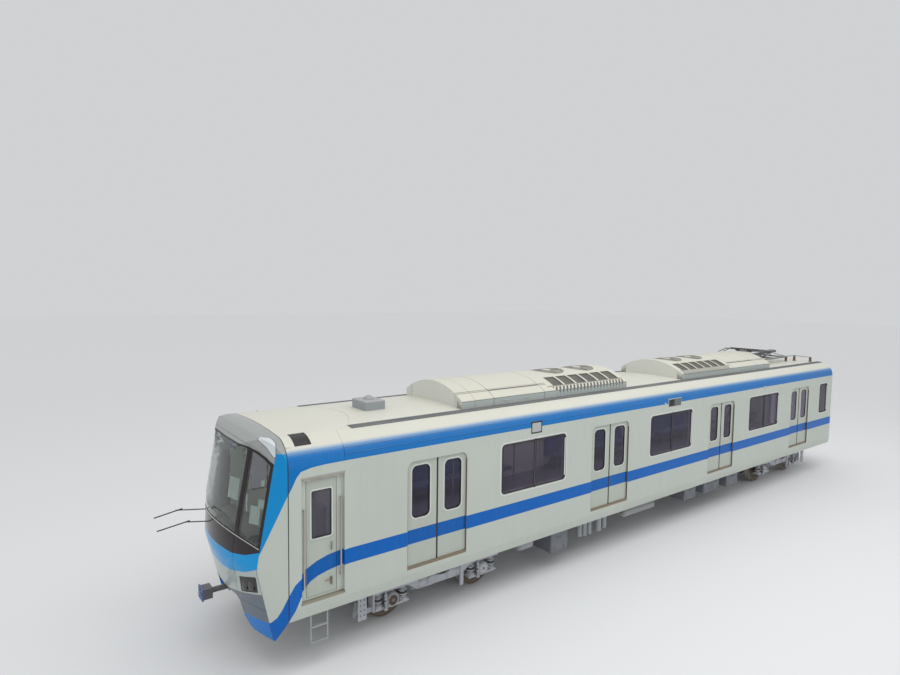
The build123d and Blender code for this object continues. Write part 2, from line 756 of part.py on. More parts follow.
def cab_door():
    """Left cab door, hinged at its front edge inside the wall, opening inwards."""
    front = behind(CAB_DOOR_FRONT)
    rear = front - CAB_DOOR_WIDTH
    outer = HALF_WIDTH - CAB_RECESS_DEPTH
    inner = outer - CAB_DOOR_THICKNESS
    leaf = block(rear, front, inner, outer, rail(FLOOR_TOP + CAB_DOOR_FLOOR_GAP), rail(CAB_DOOR_TOP))
    width, height, radius = CAB_DOOR_WINDOW
    bead, bead_rise = CAB_DOOR_WINDOW_BEAD
    sill = rail(CAB_DOOR_WINDOW_SILL)
    x = (front + rear) / 2
    leaf += rounded_panel(x, width + 2 * bead, sill - bead, sill + height + bead, radius + bead,
                          outer - CUT, outer + bead_rise)
    leaf -= rounded_panel(x, width, sill, sill + height, radius, inner - CUT, outer + bead_rise + CUT)
    for height_of_grip in CAB_HANDLE_HEIGHTS:
        grip_x, grip_y = rear + CAB_HANDLE_INSET, outer + CAB_HANDLE_REACH
        low, high = rail(height_of_grip) - CAB_HANDLE_LENGTH / 2, rail(height_of_grip) + CAB_HANDLE_LENGTH / 2
        leaf += rod((grip_x, grip_y, low), (grip_x, grip_y, high), CAB_HANDLE_RADIUS)
        for z in (low + 2 * CAB_HANDLE_RADIUS, high - 2 * CAB_HANDLE_RADIUS):
            leaf += rod((grip_x, outer - CUT, z), (grip_x, grip_y, z), CAB_HANDLE_RADIUS * BRACKET_RATIO)
    hinge_x, hinge_y = cab_hinge_axis()
    for piece in hinge_half(hinge_x, hinge_y, (front - HINGE_TAB, hinge_x, hinge_y - HINGE_TAB_DEPTH, inner), (0,)):
        leaf += piece
    middle = (inner + outer) / 2
    pane = rounded_panel(x, width, sill, sill + height, radius,
                         middle - GLASS_THICKNESS / 2, middle + GLASS_THICKNESS / 2)
    return [leaf, pane]


def cab_rails():
    """Two grab rails in the left cab door recess and the drip rail over the door."""
    back = HALF_WIDTH - CAB_RECESS_DEPTH
    pieces = []
    for station, low, high in CAB_RAIL_TABLE:
        x, y = behind(station), back + CAB_RAIL_REACH
        bar = rod((x, y, rail(low)), (x, y, rail(high)), CAB_RAIL_RADIUS)
        for height in (low + 2 * CAB_RAIL_RADIUS, high - 2 * CAB_RAIL_RADIUS):
            bar += rod((x, back, rail(height)), (x, y, rail(height)), CAB_RAIL_RADIUS * BRACKET_RATIO)
        pieces.append(bar)
    depth, reach = CAB_DRIP_RAIL
    top = rail(CAB_RECESS_TOP) - CAB_DRIP_RAIL_GAP
    front = behind(CAB_RECESS_FRONT)
    pieces.append(block(front - CAB_RECESS_WIDTH, front, back, back + reach, top - depth, top))
    return pieces


def cab_steps():
    """Left hanging ladder below the cab door."""
    front, rear = (behind(station) for station in LADDER_STATIONS)
    y = HALF_WIDTH - LADDER_INSET
    width, depth = RUNG_SIZE
    ladder = rod((front, y, rail(LADDER_FOOT)), (front, y, rail(SIDE_BOTTOM)), LADDER_RADIUS)
    ladder += rod((rear, y, rail(LADDER_FOOT)), (rear, y, rail(SIDE_BOTTOM)), LADDER_RADIUS)
    for height in LADDER_RUNGS:
        ladder += block(rear, front, y - width / 2, y + width / 2, rail(height) - depth / 2, rail(height) + depth / 2)
    return [ladder]


# Roof, floor and ends

def gutter_ribs():
    """Rain gutter ribs along the left shoulder, behind the cab door."""
    centre_y = HALF_WIDTH - SHOULDER_RADIUS
    ribs = []
    for angle in GUTTER_ANGLES:
        place = Pos(centre_y, rail(CANTRAIL)) * Rot(0, 0, angle) * Pos(SHOULDER_RADIUS, 0)
        ribs.append(end_prism(place * Rectangle(2 * GUTTER_RISE, GUTTER_WIDTH),
                              behind(BODY_LENGTH), behind(CAB_RECESS_FRONT + CAB_RECESS_WIDTH)))
    return ribs


def roof_cut(plan, depth):
    """Cut of an even depth into the roof's outer face, under an outline in X and Y."""
    kept = end_prism(offset(roof_section(), -depth), behind(BODY_LENGTH), behind(0) + HOOD_SEAM)
    return plan_prism(plan, rail(CANTRAIL), rail(crown_top()) + CUT) - kept


def hood_outline(inset):
    """Plan of the cab hood's rear edge, closed in front of the joint."""
    (x1, y1), (x2, y2) = HOOD_SHOULDER
    left = [(behind(x1) + inset, HALF_WIDTH), (behind(x1) + inset, y1 - inset / 2), (behind(x2) + inset, y2 - inset / 2)]
    right = [(x, -y) for x, y in reversed(left)]
    edge = Polyline(*left)
    edge += ThreePointArc(left[-1], (behind(HOOD_REAR) + inset, 0), right[0])
    edge += Polyline(*right, (behind(-HOOD_SEAM), -HALF_WIDTH), (behind(-HOOD_SEAM), HALF_WIDTH), left[0])
    return make_face(edge)


def hatch_outline():
    """Plan of the left roof hatch beside the cab hood."""
    length, width = HATCH_SIZE
    y = HALF_WIDTH - HATCH_INSET - width / 2
    return Pos(behind(HATCH_FRONT + length / 2), y) * RectangleRounded(length, width, HATCH_INSET / 4)


def roof():
    """Roof extrusion with its cantrails and the flat ceiling with coves."""
    cove = LINING_PLANE - CEILING_COVE
    inside = Polyline((LINING_PLANE, rail(CANTRAIL) - CUT), (LINING_PLANE, rail(CANTRAIL)), (cove, rail(CEILING)),
                      (-cove, rail(CEILING)), (-LINING_PLANE, rail(CANTRAIL)), (-LINING_PLANE, rail(CANTRAIL) - CUT),
                      close=True)
    shell = roof_body() - end_prism(make_face(inside), behind(BODY_LENGTH), behind(0))
    for rib in both_sides(gutter_ribs()):
        shell += rib
    shell -= roof_cut(hood_outline(0) - hood_outline(HOOD_SEAM), HOOD_SEAM_DEPTH)
    left = roof_cut(hatch_outline(), HATCH_DEPTH)
    return shell - left - mirror(left, Plane.XZ)


def floor():
    """Floor slab between the side walls, with the rails and cross members that carry the equipment."""
    bottom, edge = rail(FLOOR_TOP - FLOOR_THICKNESS), pocket_planes()[1]
    slab = block(behind(BODY_LENGTH), behind(0), -edge, edge, bottom, rail(FLOOR_TOP))
    front = behind(BOGIE_STATIONS[0] + FRAME_END)
    rear = behind(BOGIE_STATIONS[1] - FRAME_END)
    for inner, outer in UNDERFRAME_RAILS:
        for side in (1, -1):
            slab += block(rear, front, side * inner, side * outer, rail(UNDERFRAME_BOTTOM), bottom)
    width, depth = CROSS_MEMBER_SIZE
    count = int((front - rear) / CROSS_MEMBER_PITCH)
    for index in range(count + 1):
        x = front - width / 2 - index * (front - rear - width) / count
        slab += block(x - width / 2, x + width / 2, -edge, edge, bottom - depth, bottom)
    return slab


def end_wall():
    """Rear end wall with the gangway opening."""
    rear = behind(BODY_LENGTH)
    half = GANGWAY_WIDTH / 2
    wall = end_prism(interior_section(), rear, rear + END_WALL_THICKNESS)
    return wall - block(rear - CUT, rear + END_WALL_THICKNESS + CUT, -half, half,
                        rail(FLOOR_TOP) - CUT, rail(GANGWAY_TOP))


def bulkhead_hinge_axis():
    """X and Y of the bulkhead door's hinge."""
    edge = BULKHEAD_DOOR_Y - BULKHEAD_DOOR_WIDTH / 2
    return behind(BULKHEAD_STATION) + HINGE_SETBACK, edge + BULKHEAD_DOOR_GAP / 2


def bulkhead():
    """Partition between cab and saloon, with its door opening and hinge barrels."""
    front = behind(BULKHEAD_STATION)
    rear = front - BULKHEAD_THICKNESS
    wall = end_prism(interior_section(), rear, front)
    half = BULKHEAD_DOOR_WIDTH / 2
    wall -= block(rear - CUT, front + CUT, BULKHEAD_DOOR_Y - half, BULKHEAD_DOOR_Y + half,
                  rail(FLOOR_TOP) - CUT, rail(BULKHEAD_DOOR_TOP))
    x, y = bulkhead_hinge_axis()
    for piece in hinge_half(x, y, (front, x + HINGE_TAB_DEPTH, y - HINGE_TAB, y), (-1, 1)):
        wall += piece
    return wall


def bulkhead_door():
    """Door between cab and saloon, hinged on its outer side, opening into the cab."""
    front = behind(BULKHEAD_STATION)
    half = BULKHEAD_DOOR_WIDTH / 2 - BULKHEAD_DOOR_GAP
    rear = front - BULKHEAD_DOOR_THICKNESS
    leaf = block(rear, front, BULKHEAD_DOOR_Y - half, BULKHEAD_DOOR_Y + half,
                 rail(FLOOR_TOP + CAB_DOOR_FLOOR_GAP), rail(BULKHEAD_DOOR_TOP - BULKHEAD_DOOR_GAP))
    width, height, radius = BULKHEAD_WINDOW
    window = Pos(BULKHEAD_DOOR_Y, rail(BULKHEAD_WINDOW_SILL + height / 2)) * RectangleRounded(width, height, radius)
    leaf -= end_prism(window, rear - CUT, front + CUT)
    x, y = bulkhead_hinge_axis()
    edge = BULKHEAD_DOOR_Y - half
    for piece in hinge_half(x, y, (front, x + HINGE_TAB_DEPTH, y, edge + HINGE_TAB), (0,)):
        leaf += piece
    middle = (front + rear) / 2
    return [leaf, end_prism(window, middle - GLASS_THICKNESS / 2, middle + GLASS_THICKNESS / 2)]


def gangway():
    """Folded bellows round the passage to the next car, with its end frame."""
    x = behind(BODY_LENGTH)
    pitch = REAR_BUFFER / GANGWAY_FOLDS
    half, low, high = GANGWAY_WIDTH / 2, rail(FLOOR_TOP - GANGWAY_STEP), rail(GANGWAY_TOP)
    step = GANGWAY_RIDGE - GANGWAY_VALLEY
    bellows = block(x - REAR_BUFFER, x, -half - GANGWAY_VALLEY, half + GANGWAY_VALLEY, low - step / 2,
                    high + GANGWAY_VALLEY)
    for index in range(GANGWAY_FOLDS):
        front = x - index * pitch
        bellows += block(front - 0.75 * pitch, front - 0.25 * pitch, -half - GANGWAY_RIDGE, half + GANGWAY_RIDGE,
                         low - 1.25 * step, high + GANGWAY_RIDGE)
    return bellows - block(x - REAR_BUFFER - CUT, x + CUT, -half, half, rail(FLOOR_TOP), high)


# Nose moulding

def plan_outline(crease_x, nose_x, inset):
    """Plan section of the nose: two cheeks and a bowed front that meet in rounded creases."""
    crease = HALF_WIDTH - CREASE_INSET - inset
    side = HALF_WIDTH - NOSE_SETBACK - inset
    x0 = CAB_JOINT_X
    corner_x = x0 + crease_x - inset
    outline = Line((x0, -side), (corner_x, -crease))
    outline += ThreePointArc((corner_x, -crease), (x0 + nose_x - inset, 0), (corner_x, crease))
    outline += Polyline((corner_x, crease), (x0, side), (x0, -side))
    face = make_face(outline)
    corners = [point for point in face.vertices() if abs(point.X - corner_x) < CUT]
    return fillet(corners, max(CREASE_RADIUS - inset, INNER_CREASE_RADIUS))


def nose_form(inset):
    """Solid form of the nose, its walls moved inwards by an inset."""
    form = None
    for lower, upper in zip(NOSE_SECTIONS, NOSE_SECTIONS[1:]):
        faces = [Pos(0, 0, rail(height)) * plan_outline(crease_x, nose_x, inset)
                 for height, crease_x, nose_x in (lower, upper)]
        stage = loft(faces, ruled=True)
        form = stage if form is None else form + stage
    top = rail(crown_top()) - inset
    (x1, z1), (x2, z2), (x3, z3) = HOOD_PROFILE
    x0 = CAB_JOINT_X
    bottom = rail(BELOW_NOSE)
    hood = Line((x0 - CUT, top), (x0 + x1, top + z1))
    hood += ThreePointArc((x0 + x1, top + z1), (x0 + x2 - inset / 2, top + z2), (x0 + x3 - inset, top + z3))
    hood += Polyline((x0 + x3 - inset, top + z3), (x0 + NOSE_REACH, rail(SCREEN_SILL)), (x0 + NOSE_REACH, bottom),
                     (x0 - CUT, bottom), (x0 - CUT, top))
    return form & side_prism(make_face(hood), -HALF_WIDTH, HALF_WIDTH)


def nose_section(inset):
    """Outer body section moved inwards, carried down past the nose's lower edge."""
    section = body_section(BELOW_NOSE)
    if inset:
        section = offset(section, -inset)
    return section


def coupler_arch():
    """Opening round the coupler in Y and Z, with the rounded lower corners beside it."""
    foot, heel = ARCH_FOOT
    (turn, shoulder), (bend, crown) = ARCH_TURN, ARCH_TOP
    below = BELOW_NOSE
    left = Polyline((foot[0], rail(below)), (foot[0], rail(foot[1])), (heel[0], rail(heel[1])))
    left += ThreePointArc(*[(y, rail(z)) for y, z in (heel, turn, shoulder)])
    left += Line((shoulder[0], rail(shoulder[1])), (ARCH_SIDE[0], rail(ARCH_SIDE[1])))
    left += ThreePointArc(*[(y, rail(z)) for y, z in (ARCH_SIDE, bend, crown)])
    left += Polyline((crown[0], rail(crown[1])), (0, rail(crown[1])), (0, rail(below)), (foot[0], rail(below)))
    half = make_face(left)
    return half + mirror(half, Plane.YZ)


def cheek_cut():
    """What lies below the cheeks' rising lower edge, in X and Z."""
    x0 = CAB_JOINT_X
    (x1, z1), (x2, z2) = CHEEK_EDGE
    below = rail(BELOW_NOSE)
    return make_face(Polyline((x0 - CUT, rail(z1)), (x0 + x1, rail(z1)), (x0 + x2, rail(z2)),
                              (x0 + NOSE_REACH, rail(z2)), (x0 + NOSE_REACH, below), (x0 - CUT, below), close=True))


def front_cut(shape):
    """Front view shape in Y and Z, as a prism through the nose's front wall."""
    return end_prism(shape, CAB_JOINT_X + SCREEN_CUT_FRONT, CAB_JOINT_X + NOSE_REACH)


def across(points, drop):
    """Outline from left to right through a hood edge given for the left side, lowered by a drop."""
    left = [(y, rail(z - drop)) for y, z in points]
    right = [(-y, z) for y, z in left]
    edge = ThreePointArc(left[2], left[1], left[0]) + Line(left[0], right[0])
    return edge + ThreePointArc(right[0], right[1], right[2]), left[2], right[2]


def sill_height(y):
    """Height of the windscreen's bowed sill at a distance from the centre line."""
    return SCREEN_SILL - SCREEN_SILL_DROP * (y / HOOD_EDGE[-1][0]) ** 2


def screen_field():
    """Area between the bowed sill and the hood, in Y and Z."""
    top, left, right = across(HOOD_EDGE, SCREEN_TOP_MARGIN)
    end_y = left[0]
    low = rail(sill_height(end_y))
    outline = top + Line(right, (-end_y, low))
    outline += ThreePointArc((-end_y, low), (0, rail(SCREEN_SILL)), (end_y, low))
    return make_face(outline + Line((end_y, low), left))


def screen_shapes():
    """Front view of the three windscreen panes, in Y and Z."""
    high, low = rail(crown_top()), rail(SCREEN_SILL - 2 * SCREEN_SILL_DROP)
    wide, narrow = CENTRE_PANE
    inner_top, inner_foot, outer = CORNER_PANE
    centre = make_face(Polyline((-wide, high), (wide, high), (narrow, low), (-narrow, low), close=True))
    corner = make_face(Polyline((inner_top, high), (outer, high), (outer, low), (inner_foot, low), close=True))
    shapes = []
    for column in (centre, corner, mirror(corner, Plane.YZ)):
        pane = screen_field() & column
        corners = [point for point in pane.vertices() if abs(point.X) > HOOD_EDGE[0][0] + CUT]
        shapes.append(fillet(corners, SCREEN_CORNER))
    return shapes


def headlamp_shapes():
    """Front view of the two headlamps, in Y and Z."""
    outline = make_face(Polyline(*[(y, rail(z)) for y, z in HEADLAMP_OUTLINE], close=True))
    left = fillet(outline.vertices(), HEADLAMP_CORNER)
    return [left, mirror(left, Plane.YZ)]


def nose_seams():
    """Grooves between hood and screen, and between the middle, corner and apron panels."""
    (high_y, high), (low_y, low) = PANEL_SEAM_LINE
    half = NOSE_SEAM / 2
    apron = rail(APRON_SEAM_HEIGHT)
    panel = make_face(Polyline((high_y - half, rail(high)), (high_y + half, rail(high)),
                               (low_y + half, rail(low)), (low_y - half, rail(low)), close=True))
    panel += make_face(Polyline((ARCH_SIDE[0], apron - half), (HALF_WIDTH - CREASE_INSET, apron - half),
                                (HALF_WIDTH - CREASE_INSET, apron + half), (ARCH_SIDE[0], apron + half), close=True))
    upper, left, right = across(HOOD_EDGE, -HOOD_EDGE_GROOVE / 2)
    lower, low_left, low_right = across(HOOD_EDGE, HOOD_EDGE_GROOVE / 2)
    hood = make_face(upper + lower + Line(left, low_left) + Line(right, low_right))
    kept = nose_form(NOSE_SEAM_DEPTH)
    return [front_cut(shape) - kept for shape in (panel, mirror(panel, Plane.YZ), hood)]


def nose():
    """Moulded nose shell with its windscreen openings and coupler arch."""
    form = nose_form(0) & end_prism(nose_section(0), CAB_JOINT_X, CAB_JOINT_X + NOSE_REACH)
    cavity = nose_form(NOSE_WALL) & end_prism(nose_section(NOSE_WALL), CAB_JOINT_X - CUT, CAB_JOINT_X + NOSE_REACH)
    shell = form - cavity
    shell -= side_prism(cheek_cut(), -HALF_WIDTH - CUT, HALF_WIDTH + CUT)
    shell -= end_prism(coupler_arch(), CAB_JOINT_X - CUT, CAB_JOINT_X + NOSE_REACH)
    for shape in screen_shapes() + headlamp_shapes():
        shell -= front_cut(shape)
    for seam in nose_seams():
        shell -= seam
    return shell


def windscreen():
    """Curved panes seated in the nose openings."""
    skin = nose_form(SCREEN_INSET) - nose_form(SCREEN_INSET + GLASS_THICKNESS)
    return [skin & front_cut(shape) for shape in screen_shapes()]


def headlamps():
    """Lamp units in the nose: lens just inside the moulding's face and housing behind it."""
    lens = nose_form(SCREEN_INSET) - nose_form(SCREEN_INSET + HEADLAMP_DEPTH)
    return [lens & front_cut(shape) for shape in headlamp_shapes()]


def wipers():
    """Two wipers, lifted off the glass as the photographed ones are."""
    x = CAB_JOINT_X
    form = nose_form(0)
    pieces = []
    for y, base, elbow, inner, outer in WIPER_TABLE:
        arm = rod((x + base[0], y, rail(base[1])), (x + elbow[0], y, rail(elbow[1])), WIPER_ARM_RADIUS) - form
        arm += rod((x + inner[0], y, rail(inner[1])), (x + outer[0], y, rail(outer[1])), WIPER_BLADE_RADIUS)
        pieces.append(arm)
    return pieces


# Wheelsets and bogies

def wheelset(x):
    """Axle with two wheels, turned profile, centred on x."""
    radius = WHEEL_DIAMETER / 2
    back = BACK_TO_BACK / 2
    tread = back + FLANGE_THICKNESS
    face = back + WHEEL_WIDTH
    web = back + WHEEL_WEB_INSET
    outer_web = face - WHEEL_WEB_INSET
    rim = radius - RIM_DEPTH
    hub = face + HUB_REACH
    seat = FRAME_Y + JOURNAL_LENGTH / 2
    tip = radius + FLANGE_DEPTH
    points = [
        (0, 0), (0, AXLE_RADIUS), (back, AXLE_RADIUS), (back, HUB_RADIUS), (web, HUB_RADIUS), (web, rim),
        (back, rim + WHEEL_WEB_INSET), (back, tip - FLANGE_THICKNESS / 4), (back + FLANGE_THICKNESS / 4, tip),
        (back + FLANGE_THICKNESS / 2, tip), (tread, radius + ROOT_RISE), (tread + ROOT_RUN, radius),
        (face - TREAD_CHAMFER[0], radius - TREAD_FALL), (face, radius - TREAD_CHAMFER[1]),
        (face, rim + WHEEL_WEB_INSET), (outer_web, rim), (outer_web, HUB_RADIUS), (hub, HUB_RADIUS - HUB_CHAMFER),
        (hub, AXLE_RADIUS), (hub + JOURNAL_STEP, JOURNAL_RADIUS), (seat, JOURNAL_RADIUS), (seat, 0),
    ]
    profile = make_face(Plane.YZ * Polyline(*points, close=True))
    half = revolve(profile, Axis.Y)
    return Pos(x, 0, rail(radius)) * (half + mirror(half, Plane.XZ))


def side_frame_outline():
    """Side view of a bogie side frame: two ends over the axle boxes and a deep, lower waist."""
    half = [(0, FRAME_WAIST_TOP), (FRAME_WAIST, FRAME_WAIST_TOP), (FRAME_WAIST + FRAME_SLOPE_TOP, FRAME_TOP),
            (FRAME_END, FRAME_TOP), (FRAME_END, FRAME_END_BOTTOM), (FRAME_WAIST + FRAME_SLOPE_BOTTOM, FRAME_END_BOTTOM),
            (FRAME_WAIST, FRAME_WAIST_BOTTOM), (0, FRAME_WAIST_BOTTOM)]
    front = [(x, rail(z)) for x, z in half]
    rear = [(-x, z) for x, z in reversed(front[1:-1])]
    face = make_face(Polyline(*front[1:-1], *rear, close=True))
    bends = [point for point in face.vertices() if abs(point.X) < FRAME_END - CUT]
    return fillet(bends, FRAME_BEND)


def spring_pack(x, y, low, high):
    """Rubber spring in tiers that narrow upwards, turned about an upright axis."""
    wide, narrow = SPRING_RADII
    tier = (high - low) / SPRING_TIERS
    points = [(0, low)]
    for index in range(SPRING_TIERS):
        z = low + index * tier
        points += [(wide, z), (wide, z + tier / 3), (narrow, z + tier / 2), (narrow, z + tier)]
    points.append((0, high))
    return Pos(x, y, 0) * revolve(make_face(Plane.XZ * Polyline(*points, close=True)), Axis.Z)


def axle_box(x, side):
    """Axle box round the journal, its two spring packs, end cover and upright damper."""
    z = rail(WHEEL_DIAMETER / 2)
    y = side * FRAME_Y
    inner, outer = y - side * JOURNAL_LENGTH / 2, y + side * JOURNAL_LENGTH / 2
    seat_z, seat_depth = SPRING_SEAT
    wide = SPRING_RADII[0]
    box = barrel(x, inner, outer, z, AXLE_BOX_RADIUS)
    box += barrel(x, outer, outer + side * AXLE_COVER_REACH, z, AXLE_COVER_RADIUS)
    box += block(x - SPRING_X - wide, x + SPRING_X + wide, y - wide, y + wide, rail(seat_z), rail(seat_z + seat_depth))
    for end in (1, -1):
        box += spring_pack(x + end * SPRING_X, y, rail(seat_z + seat_depth), rail(FRAME_END_BOTTOM))
    damper_x, damper_y = x + DAMPER_X, y + side * (JOURNAL_LENGTH / 2 + DAMPER_RADIUS)
    box += rod((damper_x, damper_y, rail(seat_z)), (damper_x, damper_y, rail(FRAME_TOP)), DAMPER_RADIUS / 2)
    box += rod((damper_x, damper_y, rail(seat_z + 2 * seat_depth)), (damper_x, damper_y, rail(FRAME_END_BOTTOM)),
               DAMPER_RADIUS)
    for low, high in ((seat_z, seat_z + seat_depth), (FRAME_TOP - seat_depth, FRAME_TOP)):
        box += block(damper_x - DAMPER_RADIUS, damper_x + DAMPER_RADIUS, y + side * wide / 2,
                     damper_y + side * DAMPER_RADIUS, rail(low), rail(high))
    return box


def drive(x, centre_x):
    """Traction motor and gear case of the axle at x, on the side of the bogie's centre."""
    z = rail(WHEEL_DIAMETER / 2)
    towards = 1 if centre_x > x else -1
    motor_x = x + towards * MOTOR_X
    motor_end = MOTOR_Y + MOTOR_LENGTH / 2
    unit = barrel(motor_x, MOTOR_Y - MOTOR_LENGTH / 2, motor_end, z, MOTOR_RADIUS)
    case_end = motor_end + GEAR_CASE_WIDTH
    unit += barrel(x, motor_end - CUT, case_end, z, GEAR_CASE_RADIUS)
    unit += barrel(motor_x, motor_end - CUT, case_end, z, MOTOR_RADIUS * 0.7)
    unit += block(min(x, motor_x), max(x, motor_x), motor_end - CUT, case_end,
                  z - MOTOR_RADIUS * 0.7, z + MOTOR_RADIUS * 0.7)
    return unit - barrel(x, motor_end - 2 * CUT, case_end + CUT, z, AXLE_RADIUS + AXLE_CLEARANCE)


def tread_brake(x, side, towards):
    """Brake unit on the side frame, with its shoe a little off the wheel's tread."""
    radius = WHEEL_DIAMETER / 2
    z = rail(radius)
    depth, width, height = BRAKE_SHOE
    middle = side * (BACK_TO_BACK / 2 + FLANGE_THICKNESS + (WHEEL_WIDTH - FLANGE_THICKNESS) / 2)
    inner_radius = radius + BRAKE_CLEARANCE
    ring = barrel(x, middle - width / 2, middle + width / 2, z, inner_radius + depth)
    ring -= barrel(x, middle - width, middle + width, z, inner_radius)
    near, far = x + towards * radius * 0.9, x + towards * (inner_radius + depth)
    shoe = ring & block(near, far, middle - width / 2, middle + width / 2, z - height / 2, z + height / 2)
    length, tall = BRAKE_UNIT
    start = x + towards * (inner_radius + depth * 0.75)
    unit = block(start, start + towards * length, middle - side * width / 2, side * FRAME_Y,
                 rail(FRAME_WAIST_BOTTOM) - tall / 4, rail(FRAME_WAIST_BOTTOM) + tall)
    return unit + shoe


def wheel_guard(x, side, towards):
    """Guard at the bogie's outer end: a plate down from the frame and a foot ahead of the wheel."""
    y = side * (BACK_TO_BACK / 2 + WHEEL_WIDTH / 2)
    plate_y = side * FRAME_Y
    low, high = rail(GUARD_PLATE[1]), rail(GUARD_PLATE[2])
    thickness, width = GUARD_PLATE[0], GUARD_FOOT_SIZE[1]
    plate = block(x - towards * thickness, x, plate_y - FRAME_WIDTH / 2, plate_y + FRAME_WIDTH / 2,
                  low, rail(FRAME_TOP) - FRAME_BEND)
    front = x + towards * GUARD_REACH
    plate += block(x - towards * thickness, front, plate_y - width / 2, plate_y + width / 2, low, high)
    plate += block(front - towards * thickness, front, y, plate_y + side * width / 2, low, high)
    toe, depth = front + towards * GUARD_TOE, GUARD_FOOT_SIZE[0]
    foot = Polyline((front - towards * thickness, high), (front, high), (toe, rail(GUARD_FOOT) + depth),
                    (toe, rail(GUARD_FOOT)), (toe - towards * thickness, rail(GUARD_FOOT)),
                    (front - towards * thickness, low), close=True)
    return plate + side_prism(make_face(foot), y - width / 2, y + width / 2)


def bogie(station):
    """Bogie: two side frames joined by cross tubes, axle boxes, air springs, motors, gears and brakes."""
    x = behind(station)
    outward = 1 if station == BOGIE_STATIONS[0] else -1
    beam = Pos(x, 0) * side_frame_outline()
    centre, half, low, high = PIVOT_BOX
    frame = block(x - centre, x + centre, -half, half, rail(low), rail(high))
    for end in (1, -1):
        cross = x + end * CROSS_TUBE_X
        frame += cross_bar(cross, rail(CROSS_TUBE_HEIGHT), FRAME_Y, CROSS_TUBE_RADIUS)
        frame += drive(x + end * WHEELBASE / 2, x)
    for side in (1, -1):
        y = side * FRAME_Y
        face = side * (FRAME_Y + FRAME_WIDTH / 2)
        frame += side_prism(beam, y - FRAME_WIDTH / 2, y + FRAME_WIDTH / 2)
        for end in (1, -1):
            axle_x = x + end * WHEELBASE / 2
            frame += axle_box(axle_x, side)
            frame += tread_brake(axle_x, side, -end)
            frame += barrel(x + end * BOSS_X, face - side * CUT, face + side * BOSS_REACH,
                            rail((FRAME_WAIST_TOP + FRAME_WAIST_BOTTOM) / 2), BOSS_RADIUS)
            frame -= barrel(axle_x, y - JOURNAL_LENGTH / 2 - CUT, y + JOURNAL_LENGTH / 2 + CUT,
                            rail(WHEEL_DIAMETER / 2), JOURNAL_RADIUS + BEARING_CLEARANCE)
        frame += wheel_guard(x + outward * FRAME_END, side, outward)
        top = FRAME_WAIST_TOP + AIR_SPRING_HEIGHT
        profile = Polyline((0, FRAME_WAIST_TOP - CUT), (AIR_SPRING_NECK, FRAME_WAIST_TOP - CUT),
                           (AIR_SPRING_RADIUS, FRAME_WAIST_TOP + AIR_SPRING_HEIGHT / 3),
                           (AIR_SPRING_RADIUS, top - AIR_SPRING_HEIGHT / 3), (AIR_SPRING_NECK, top), (0, top), close=True)
        frame += Pos(x, y, rail(0)) * revolve(make_face(Plane.XZ * profile), Axis.Z)
    return frame - Pos(x, 0, rail((low + high) / 2)) * Cylinder(PIVOT_RADIUS + PIVOT_CLEARANCE, 2 * (high - low))


def pivots():
    """Bolsters and centre pins that carry the body on its bogies."""
    parts = []
    for station in BOGIE_STATIONS:
        x = behind(station)
        bolster = block(x - BOLSTER_HALF, x + BOLSTER_HALF, -UNDER_HALF, UNDER_HALF, rail(BOLSTER_BOTTOM),
                        rail(FLOOR_TOP - FLOOR_THICKNESS))
        pin = rod((x, 0, rail(PIVOT_BOTTOM)), (x, 0, rail(BOLSTER_BOTTOM) + CUT), PIVOT_RADIUS)
        parts.append(bolster + pin)
    return parts


# Roof equipment

def aircon_section(inset):
    """Section of an air conditioning case in Y and Z, its outer faces moved inwards by an inset."""
    half = AIRCON_HALF - inset
    side = rail(crown_top() + AIRCON_SIDE_RISE) - inset
    crown = rail(crown_top() + AIRCON_CROWN_RISE) - inset
    outline = Polyline((-half, side), (-half, rail(CANTRAIL)), (half, rail(CANTRAIL)), (half, side))
    outline += ThreePointArc((half, side), (0, crown), (-half, side))
    face = make_face(outline)
    return fillet([point for point in face.vertices() if point.Y > side - CUT], AIRCON_EDGE)


def aircon_plan(x, inward):
    """Plan of the fan wells and side grilles, at the fan end of a case."""
    plan = None
    for place in FAN_PLACES:
        well = Circle(FAN_RADIUS) - Circle(FAN_HUB)
        well -= Rectangle(2 * FAN_RADIUS, FAN_SPOKE)
        well -= Rectangle(FAN_SPOKE, 2 * FAN_RADIUS)
        well = Pos(x + inward * place, 0) * well
        plan = well if plan is None else plan + well
    length, width = GRILLE_SIZE
    for index in range(GRILLE_COUNT):
        for side in (1, -1):
            plan += Pos(x + inward * (GRILLE_MARGIN + index * GRILLE_PITCH), side * GRILLE_Y) * Rectangle(length, width)
    return plan


